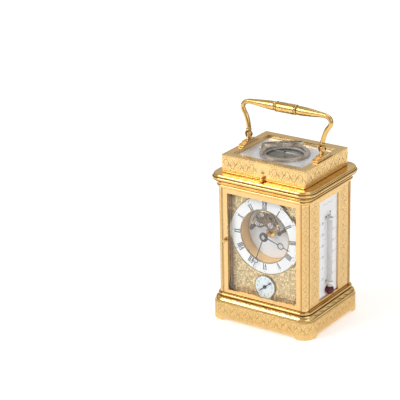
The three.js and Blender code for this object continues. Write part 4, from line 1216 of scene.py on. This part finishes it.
def hands():
    low, high = box("minute_hand")
    front, back = RING_FRONT + 1.6, RING_FRONT + 1.2
    shape = moon_hand(Shape(), MINUTE_ANGLE, (front, back), hub=2,
                      moon_at=24.2, moon=2.6, hole=2, length=32.4, width=0.45)
    tip = -low.y
    collar = [(1.9, tip - 0.5), (2.5, tip - 0.36), (3.2, tip - 0.56), (3.8, tip - 0.86)]
    collar += [(4.1, tip - 1.15), (4.2, back + 0.1), (4.2, back), (1.9, back)]
    shape.lathe(collar, on_dial(0), 48, 2, closed=True)
    nut = [(0, tip), (0.7, tip - 0.04), (1.3, tip - 0.16), (1.8, tip - 0.38), (2, tip - 0.6), (2, back)]
    shape.lathe([*nut, (0, back)], on_dial(0), 40, 1)
    piece("minute_hand_blued", shape, "blued steel collar", "centre_arbor",
          ["minute_hand"])
    front, back = RING_FRONT + 0.6, RING_FRONT + 0.3
    shape = moon_hand(Shape(), HOUR_ANGLE, (front, back), hub=2.9,
                      moon_at=16.8, moon=3, hole=2.3, length=26, width=0.5)
    piece("hour_hand_blued", shape, "blued", "hour_pipe", ["hour_hand"])
    collar = [(1.2, back), (1.9, back), (1.9, 24.2), (2.6, 24), (3.6, 23.7), (4.2, 23.1), (4.2, 21.1)]
    collar.append((1.2, 21.1))
    shape = Shape().lathe(collar, on_dial(0), 40, closed=True)
    shape.lathe([(1.2, 21.1), (1.9, 21.1), (1.9, 19.2), (1.2, 19.2)], on_dial(0), 24, closed=True)
    teeth = toothed(18, 4.6, 3.7)
    shape.add(*flat([teeth, circle(1.2, 20)], 0.8, 0.05), place=on_dial(18.9))
    piece("hour_pipe_collar", shape, "gilt", "hour_pipe")
    low, high = box("alarm_hand")
    front = -low.y
    shape = moon_hand(Shape(), ALARM_ANGLE, (front - 0.4, front - 0.8), hub=1.7, moon_at=6.4,
                      moon=1, hole=0.6, length=8.4, width=0.4, z=ALARM_Z, tail=8.2)
    pin = [(0, front), (0.45, front - 0.06), (0.6, front - 0.25), (0.6, -high.y), (0, -high.y)]
    shape.lathe(pin, on_dial(0, ALARM_Z), 20)
    piece("alarm_hand_blued", shape, "blued", "alarm_arbor", ["alarm_hand"])


# ----------------------------------------------------------------------------------------------
# Escapement
# ----------------------------------------------------------------------------------------------


def toothed(teeth, tip, root):
    points = []
    for tooth in range(teeth):
        for radius, share in ((root, 0), (root, 0.2), (tip, 0.38), (tip, 0.62), (root, 0.8)):
            angle = TAU * (tooth + share) / teeth
            points.append((radius * math.cos(angle), radius * math.sin(angle)))
    return points


def windows(inner, outer, arms, arm_width):
    """The openings between the spokes of a wheel."""
    loops = []
    for arm in range(arms):
        start, end = TAU * arm / arms, TAU * (arm + 1) / arms
        far = math.asin(arm_width / 2 / outer)
        near = math.asin(min(arm_width / 2 / inner, 1))
        loops.append(circle(outer, 12, 0, 0, start + far, end - start - 2 * far)
                     + circle(inner, 6, 0, 0, end - near, start - end + 2 * near))
    return loops


BRIDGE_HALF = [(0, 91.2), (2.2, 89.8), (4.4, 88.9), (7.2, 89), (9, 90.4), (10.4, 91.6), (11.4, 90.2),
               (11.6, 87.6), (12.6, 85.6), (14.4, 85.1), (15.6, 86.4), (15.3, 88.2), (14.1, 89.3),
               (14, 91.2), (12.9, 94.2), (10.8, 98.2), (8, 101.7), (4.6, 103.9), (0, 104.6)]
BRIDGE_PIERCINGS = [
    [(1.2, 92.8), (3.6, 90.9), (6.6, 90.6), (8.6, 92.2), (6.9, 93.4), (3.6, 92.9)],
    [(9, 93.6), (10.6, 93), (12, 92.3), (11.4, 94.9), (9.7, 97.6), (8.6, 96)],
    [(6.4, 96.6), (7.9, 98.1), (6.9, 100.6), (4.6, 102.2), (4.2, 99.8)],
    [(0.9, 97.8), (2.6, 98.2), (3.1, 101.9), (1.3, 103.1)],
]


def escapement():
    """Pierced fan-shaped bridge with jewels, over the balance, lever and escape wheel."""
    low, high = box("escapement_bridge")
    screw_low, screw_high = box("bridge_screw_right")
    stud_x, stud_z = (screw_low.x + screw_high.x) / 2, (screw_low.z + screw_high.z) / 2
    front, back = -low.y, -low.y - 1.1
    half = smooth(BRIDGE_HALF, 5)
    whole = [tuple(p) for p in half] + [(-x, z) for x, z in reversed(half[1:-1])]
    loops = [whole]
    for piercing in BRIDGE_PIERCINGS:
        closed = smooth([*piercing, piercing[0]], 5)[:-1]
        loops.append([tuple(p) for p in closed])
        loops.append([(-x, z) for x, z in reversed(closed)])
    at = on_dial((front + back) / 2, 0)
    shape = Shape().add(*flat(loops, front - back, 0.12), place=at)
    for sign in SIDES.values():
        stud = [(0, back + 0.2), (1.7, back + 0.2), (1.7, back - 0.6), (1.3, back - 1.2)]
        stud += [(1.3, -high.y + 1), (1.7, -high.y + 0.6), (1.7, -high.y), (0, -high.y)]
        shape.lathe(stud, on_dial(0, stud_z, sign * stud_x), 24)
        # The end curl takes the pale edge gilt, a painted highlight.
        curl = volute(sign * 12.6, 92.6, 1.9, 1.2, 1.3, sign, 0.8)
        shape.engrave([curl], 0.3, on_dial(front, 0), 1)
    # A raised line just inside the outline, in the pale edge gilt: painted highlight.
    edge = [(p[0] * 0.965, (p[1] - 94) * 0.965 + 94) for p in half[-28:]]
    shape.engrave([(edge, [0.45] * len(edge)), ([(-u, v) for u, v in edge], [0.45] * len(edge))],
                  0.1, on_dial(front, 0), 1)
    piece("bridge_pierced", shape, "bridge bridge_edge", "case", ["escapement_bridge"])
    centres = {}
    for node in ("balance_wheel", "escape_wheel", "pallet_lever"):
        wheel = box(node)
        centres[node] = ((wheel[0].x + wheel[1].x) / 2, (wheel[0].z + wheel[1].z) / 2)
    lever = frame_joint("lever_rock")[0]
    centres["pallet_lever"] = (lever.x, lever.z)
    jewels = Shape()
    settings = Shape()
    for node, size in (("balance_wheel", 1.7), ("pallet_lever", 0.95), ("escape_wheel", 1.1)):
        x, z = centres[node]
        dome = [(0, front + 0.34), (0.5 * size, front + 0.28), (0.85 * size, front + 0.12)]
        jewels.lathe([*dome, (size, front - 0.02), (size, front - 0.5), (0, front - 0.5)],
                     on_dial(0, z, x), 28)
        torus(settings, on_dial(front + 0.02, z, x), size + 0.45, 0.45, 32)
    piece("bridge_jewels", jewels, "ruby", "case")
    piece("bridge_jewel_settings", settings, "silver", "case")
    for side, sign in SIDES.items():
        tip = -screw_low.y
        head = [(0, tip), (1.1, tip), (1.35, tip - 0.12), (1.4, tip - 0.3), (1.4, tip - 0.4)]
        head += [(0.7, tip - 0.5), (0.7, -screw_high.y), (0, -screw_high.y)]
        screw = Shape().lathe(head, on_dial(0, stud_z, sign * stud_x), 28)
        along, across = (X + Z * 0.6).normalized(), (Z - X * 0.6).normalized()
        slot = plane((sign * stud_x, -tip, stud_z), along, across)
        blade = [[slot(u, v, w) for u, v in rectangle(2, 0.17)] for w in (-0.22, 1)]
        screw = cut(screw, Shape().loft(blade, caps=True))
        piece(f"bridge_screw_{side}_slotted", screw, "collar", "case",
              [f"bridge_screw_{side}"])
    escapement_wheels(centres)


def frame_joint(name):
    """A point on a joint's axis, in millimetres, and the axis."""
    joint = next(j for j in frame["joints"] if j["name"] == name)
    return Vector(joint["pos_m"]) / MM, Vector(joint["axis"])


def escapement_wheels(centres):
    x, z = centres["balance_wheel"]
    low, high = box("balance_wheel")
    radius = (high.x - low.x) / 2
    staff = [(0, -low.y), (0.2, -low.y - 0.3), (0.45, -low.y - 1), (0.45, -high.y + 0.6)]
    staff.append((0.2, -high.y))
    shape = Shape().lathe([*staff, (0, -high.y)], on_dial(0, z, x), 16, 1)
    loops = [circle(radius - 0.45, 64), *windows(1.3, radius - 1.15, 2, 0.75)]
    shape.add(*flat(loops, 0.8, 0.08), place=on_dial(28.8, z, x))
    for screw in range(12):
        angle = TAU * (screw + 0.5) / 12
        reach = [(radius - 0.6) * math.cos(angle), (radius - 0.6) * math.sin(angle)]
        tip = [radius * math.cos(angle), radius * math.sin(angle)]
        ends = [on_dial(28.8, z, x)(*p) for p in (reach, tip)]
        shape.tube(ends, [0.3, 0.3], 8)
    coil = [on_dial(29.7, z, x)(r * math.cos(a), r * math.sin(a))
            for a, r in ((i * 0.35, 0.9 + i * 0.022) for i in range(110))]
    shape.tube(coil, [0.06] * len(coil), 4, 1)
    piece("balance_wheel_spoked", shape, "brass blued", "balance_staff",
          ["balance_wheel"])
    x, z = centres["escape_wheel"]
    low, high = box("escape_wheel")
    shape = Shape().lathe([(0, -low.y), (0.4, -low.y - 0.3), (0.4, -high.y), (0, -high.y)],
                          on_dial(0, z, x), 12)
    shape.add(*flat([toothed(15, 4, 3.1), *windows(1, 2.5, 4, 0.5)], 0.7, 0.05),
              place=on_dial(26.05, z, x))
    piece("escape_wheel_spoked", shape, "steel", "escape_arbor", ["escape_wheel"])
    keep("pallet_lever", "steel", edge=0.06)


# ----------------------------------------------------------------------------------------------
# Handle and repeat button
# ----------------------------------------------------------------------------------------------


HANDLE_LEAN = math.radians(6)


def handle():
    """Swept arms, a swelling grip with an engraved barrel, and slotted ball ends."""
    pivot = frame_joint("handle_swing")[0]
    pin_low, pin_high = box("handle_pin_right")
    pivot_x, pivot_z = (pin_low.x + pin_high.x) / 2, pivot.z
    reach = 28.3
    grip_z = pivot_z + reach
    lean = Matrix.Translation(Z * pivot_z) @ Matrix.Rotation(-HANDLE_LEAN, 4, "X")
    lean = lean @ Matrix.Translation(-Z * pivot_z)
    arm = [(0, 5.7), (1.3, 10.7), (3.2, 15.7), (6, 19.9), (7, 23.1), (5.6, 26.3), (2.2, 27.9)]
    arm.append((-1, reach))
    half = [(37, 2.05), (33, 2.4), (28, 2.95), (23.5, 3.4), (18, 3.8), (14, 4), (11.6, 3.95),
            (10.9, 3.5), (10.4, 3.2), (10.15, 4), (9.9, 4.4), (9.4, 4.57), (9, 4.4), (8.75, 3.75),
            (8.5, 3.7), (8.2, 4.3), (7.6, 4.4)]
    along = plane((0, 0, grip_z), Y, Z)
    profile = [(0, -37), *[(r, -x) for x, r in half], *[(r, x) for x, r in reversed(half)], (0, 37)]
    shape = Shape().lathe(profile, along, 32)

    def barrel(u, v, w=0):
        angle = v / 4.4
        return Vector((u, -(4.38 + w) * math.sin(angle), grip_z + (4.38 + w) * math.cos(angle)))

    scroll = rinceau(14, width=13, pitch=4.7, thick=0.45)
    for middle in (-6.9, 6.9):
        shape.engrave(scroll, 0.08, lambda u, v, w=0, m=middle: barrel(u, v + m, w), 1)
    ball = [(1.75, 3.2), (1.75, 3.45), (2.3, 3.6), (2.6, 3.9), (2.6, 4.3), (2.3, 4.6), (1.75, 4.75)]
    ball += [(1.6, 5.1), (2.05, 5.8), (2.05, 6.4)]
    for sign in SIDES.values():
        path = smooth([(sign * (pivot_x + x), 0, pivot_z + z) for x, z in arm], 5)
        shape.tube(path, [2.08] * len(path), 20)
        at = plane((sign * pivot_x, 0, pivot_z), X, Y)
        knuckle = [(0, -3.5)] + [(3.5 * math.cos(a), 3.5 * math.sin(a)) for a in
                                 (math.radians(d) for d in range(-75, 61, 15))]
        end = Shape().lathe([*knuckle, *ball, (0, 6.4)], at, 28)
        slot = [[(sign * pivot_x + x, y, z) for x, y in rectangle(0.9, 5)]
                for z in (pivot_z - 5, pivot_z + 2.6)]
        end = cut(end, Shape().loft(slot, caps=True))
        end = cut(end, rod_cutter(plane((0, 0, pivot_z), Y, Z), 1.2, *sorted(
            (sign * pivot_x - 5, sign * pivot_x + 5))))
        shape.add(end.points, end.faces)
    shape.points = [lean @ Vector(point) for point in shape.points]
    piece("handle_swept", shape, "handle handle_leaf", "carrying_handle",
          ["handle"], sharp=50)
    for side, sign in SIDES.items():
        mount(side, sign, pivot_x, pivot_z)


def mount(side, sign, pivot_x, pivot_z):
    """Two moulded steps and a round-topped lug."""
    low = box(f"handle_mount_{side}")[0]
    out = sign * pivot_x
    shape = Shape()
    steps = [((3.15, 12, low.z, low.z + 1.05), 0.15), ((2.9, 11.5, low.z + 0.95, low.z + 1.9), 0.35),
             ((2.75, 7, low.z + 1.8, low.z + 2.8), 0.15), ((2.4, 6.4, low.z + 2.7, low.z + 3.6), 0.35)]
    for (half_x, half_y, z0, z1), soft in steps:
        loop = rounded(half_x, half_y, 0.5, 4)
        centre = (out + sign * 0.15, 0, (z0 + z1) / 2)
        shape.add(*flat([loop], z1 - z0, soft), place=plane(centre, X, Y))
    foot = low.z + 3.4 - pivot_z
    lug = [(-2.2, foot), (2.2, foot), *circle(2.2, 20, 0, 0, 0, TAU / 2)]
    shape.add(*flat([lug, circle(1.2, 20)], 1.2, 0.12), place=plane((out, 0, pivot_z), Y, Z))
    piece(f"handle_mount_{side}_stepped", shape, "satin", "case",
          [f"handle_mount_{side}"])
    keep(f"handle_pin_{side}", "steel", 0.12)


def repeat_button():
    low, high = box("repeat_button")
    front, back = -low.y, -high.y
    profile = [(0, front), (0.8, front - 0.04), (1.35, front - 0.18), (1.7, front - 0.5)]
    profile += [(1.7, front - 0.95), (1.45, front - 1.2), (1.1, front - 1.25), (1.1, back), (0, back)]
    shape = Shape().lathe(profile, on_dial(0, (low.z + high.z) / 2), 28)
    piece("repeat_button_turned", shape, "gilt", "repeat_push", ["repeat_button"])


# ----------------------------------------------------------------------------------------------
# Sundial and compass
# ----------------------------------------------------------------------------------------------


def sundial():
    """Silvered plate with a sunk compass, a graduated ring that turns, and a tilted hour ring."""
    low, high = box("sundial_plate")
    needle_low, needle_high = box("compass_needle")
    ring_low_z, ring_high_z = (corner.z for corner in box("compass_ring"))
    outer = box("compass_ring")[1].x
    top, bowl, thick = ring_low_z - 0.3, 16.4, 1.2
    outline = rectangle(high.x, high.y)
    at = plane((0, 0, top - thick / 2), X, Y)
    shape = Shape().add(*flat([outline, circle(bowl, 96)], thick, 0.12), place=at)
    stop = rounded(1.35, 1.6, 0.4, 4)
    for z0, z1, grow in ((top - 0.1, top + 1.2, 0), (top + 1.1, high.z, -0.35)):
        loop = [(x * (1 + grow / 2) - 23.25, y * (1 + grow / 2) - 0.6) for x, y in stop]
        shape.add(*flat([loop], z1 - z0, 0.18), 1, plane((0, 0, (z0 + z1) / 2), X, Y))
    piece("sundial_plate_silvered", shape, "plate ring_silver", "case",
          ["sundial_plate"])
    floor = top - 2.7
    wall = [(bowl, top - 0.15), (bowl + 0.6, top - 0.15), (bowl + 0.6, low.z), (0.6, low.z), (0, low.z)]
    wall += [(0, floor), (0.6, floor), (bowl - 0.5, floor), (bowl - 0.1, floor + 0.3)]
    shape = Shape().lathe(wall, plane((0, 0, 0), X, Y), 96)
    pivot = [(0, needle_low.z - 0.1), (0.12, needle_low.z - 0.4), (0.4, floor + 0.8), (0.7, floor)]
    shape.lathe([*pivot, (0, floor)], plane((0, 0, 0), X, Y), 16)
    piece("compass_bowl", shape, "bowl", "case")
    card = Shape()
    at = plane((0, 0, floor), X, Y)
    for point in range(16):
        angle = TAU * point / 16
        ends = [(r * math.cos(angle), r * math.sin(angle)) for r in (14.6, 15.6)]
        card.ridge(ends, [0.4 if point % 4 == 0 else 0.2, 0.2], 0.05, at, 1)
    torus(card, plane((0, 0, floor), X, Y), 14.4, 0.1, 72)
    for shift in (-0.45, 0.45):
        card.ridge([(shift, 0), (shift + 2.6, -14.2)], [0.3, 0.3], 0.08, at, 1)
    piece("compass_card", card, "silver ink", "case")
    compass_needle(needle_low, needle_high)
    compass_ring(outer, ring_low_z, ring_high_z)
    hour_ring()


def compass_needle(low, high):
    """A needle with one bright half and one pale half, under a blued cap."""
    shape = Shape()
    for sign, number in ((-1, 0), (1, 1)):
        foot = [(0, -1.3), (sign * high.x, 0), (0, 1.3)]
        ridge = [(0, -0.5), (sign * high.x * 0.93, 0), (0, 0.5)]
        levels = [(foot, 0), (foot, 0.2), (ridge, 0.5)]
        rings = [[(x, y, low.z + rise) for x, y in outline] for outline, rise in levels]
        shape.loft(rings, number, caps=True)
    cap = [(0, high.z), (0.7, high.z - 0.06), (1.2, high.z - 0.35), (1.3, low.z + 0.1)]
    cap.append((0, low.z + 0.1))
    shape.lathe(cap, plane((0, 0, 0), X, Y), 24, 2)
    piece("compass_needle_tapered", shape, "steel needle blued", "needle",
          ["compass_needle"])


def compass_ring(outer, low_z, high_z):
    inner = 17.2
    profile = [(inner, low_z), (outer, low_z), (outer, low_z + 0.4), (outer - 0.3, low_z + 0.6)]
    profile += [(outer - 0.3, high_z - 0.35), (outer - 0.1, high_z - 0.2), (outer - 0.3, high_z)]
    profile += [(inner + 0.25, high_z), (inner, high_z - 0.25)]
    shape = Shape().lathe(profile, plane((0, 0, 0), X, Y), 96, closed=True)
    at = plane((0, 0, high_z), X, Y)
    for tick in range(72):
        angle = TAU * tick / 72
        reach = 2.2 if tick % 6 == 0 else 1.5 if tick % 3 == 0 else 0.9
        ends = [(r * math.cos(angle), r * math.sin(angle)) for r in (outer - 0.7, outer - 0.7 - reach)]
        shape.ridge(ends, [0.2, 0.2], 0.03, at, 1)
    for figure in range(12):
        angle = TAU * figure / 12
        u, v = (inner + 0.85) * math.cos(angle), (inner + 0.85) * math.sin(angle)
        shape.lathe([(0.32, 0), (0.32, 0.04), (0, 0.05)],
                    lambda a, b, c, u=u, v=v: at(a + u, b + v, c), 10, 1)
    piece("compass_ring_graduated", shape, "ring_silver ink", "sundial_base_ring",
          ["compass_ring"])


HOUR_RING_TILT = math.radians(16)


def hour_ring():
    """A band ring, hinged at one point of the compass ring and standing tilted over it."""
    hinge, axis = frame_joint("hour_ring_tilt")
    turn = Matrix.Translation(hinge) @ Matrix.Rotation(HOUR_RING_TILT, 4, axis)
    turn = turn @ Matrix.Translation(-hinge)
    outer, inner, tall, base = 17.8, 16.4, 2.8, hinge.z
    centre = hinge - outer * Vector((axis.y, -axis.x, 0))

    def at(u, v, w=0):
        return turn @ Vector((centre.x + u, centre.y + v, base + w))

    profile = [(inner, 0.15), (inner + 0.15, 0), (outer - 0.15, 0), (outer, 0.15), (outer, 0.5)]
    profile += [(outer - 0.15, 0.6), (outer - 0.15, tall - 0.6), (outer, tall - 0.5)]
    profile += [(outer, tall - 0.15), (outer - 0.15, tall), (inner + 0.15, tall), (inner, tall - 0.15)]
    shape = Shape().lathe(profile, at, 96, closed=True)
    # The top and bottom faces are coloured darker than the wall.
    for level in (0.02, tall - 0.02):
        near, far = inner + 0.2, outer - 0.2
        face = [(near, level - 0.03), (far, level - 0.03), (far, level + 0.03), (near, level + 0.03)]
        shape.lathe(face, at, 96, 2, closed=True)
    for tick in range(48):
        angle = TAU * tick / 48
        reach = 0.95 if tick % 2 == 0 else 0.5

        def inside(u, v, w, angle=angle):
            radius = inner - w
            return at(radius * math.cos(angle + u / inner), radius * math.sin(angle + u / inner), v)

        middle = tall / 2
        shape.ridge([(0, middle - reach), (0, middle + reach)], [0.26, 0.26], 0.03, inside, 1)
    for tick in range(96):
        angle = TAU * tick / 96
        reach = 1.05 if tick % 4 == 0 else 0.5
        ends = [(r * math.cos(angle), r * math.sin(angle)) for r in (inner + 0.2, inner + 0.2 + reach)]
        shape.ridge(ends, [0.16, 0.16], 0.02, lambda u, v, w: at(u, v, tall + w), 1)
    piece("hour_ring_graduated", shape, "ring_silver ink aged", "sundial_hour_ring",
          ["hour_ring"])


# ----------------------------------------------------------------------------------------------
# Movement
# ----------------------------------------------------------------------------------------------


def movement():
    keep("front_plate back_plate", "brass", edge=0.2)
    keep("pillar_lower_left pillar_lower_right pillar_upper_left pillar_upper_right", "brass", edge=0.1)
    keep("going_barrel striking_barrel centre_wheel third_wheel minute_wheel", "brass", edge=0.08)
    keep("hammer", "steel", edge=0.15)
    low, high = box("gong")
    centre_z = box("hammer")[1].z - 2.2
    wire, y = 0.6, 19
    outer, pitch, turns = 20, 2.6, 2.6
    path = []
    for step in range(int(turns * 48) + 1):
        angle = TAU * step / 48
        reach = outer - pitch * step / 48
        path.append((reach * math.cos(angle), y, centre_z + reach * math.sin(angle)))
    shape = Shape().tube(path, [wire] * len(path), 10)
    end = path[-1]
    foot = [(3, low.y + 0.02), (3, low.y + 1.4), (2.4, low.y + 2), (1.9, y + 1), (1.4, high.y - 0.1)]
    foot_place = plane((end[0], 0, end[2]), -X, Z)
    shape.lathe([(0, low.y + 0.02), *foot, (0, high.y - 0.1)], foot_place, 28)
    piece("gong_coiled", shape, "blued", "case", ["gong"])


def make_floor():
    mesh = mesh_of("floor", Shape().add([(-4000, -4000, 0), (4000, -4000, 0), (4000, 6000, 0),
                                         (-4000, 6000, 0)], [(0, 1, 2, 3)]), [materials["floor"]], MM)
    floor = bpy.data.objects.new("floor", mesh)
    bpy.context.scene.collection.objects.link(floor)


plinth()
lower_moulding()
upper_moulding()
corner_posts()
side_panels()
upper_box()
thermometer()
doors()
dial_mask()
chapter_ring()
dial_well()
alarm_dial()
hands()
escapement()
handle()
repeat_button()
sundial()
movement()
make_floor()

for pane in ("front_door_glass", "rear_door_glass", "left_side_glass"):
    frame["nodes"][pane].visible_shadow = False
bpy.data.objects["thermometer_stem"].visible_shadow = False
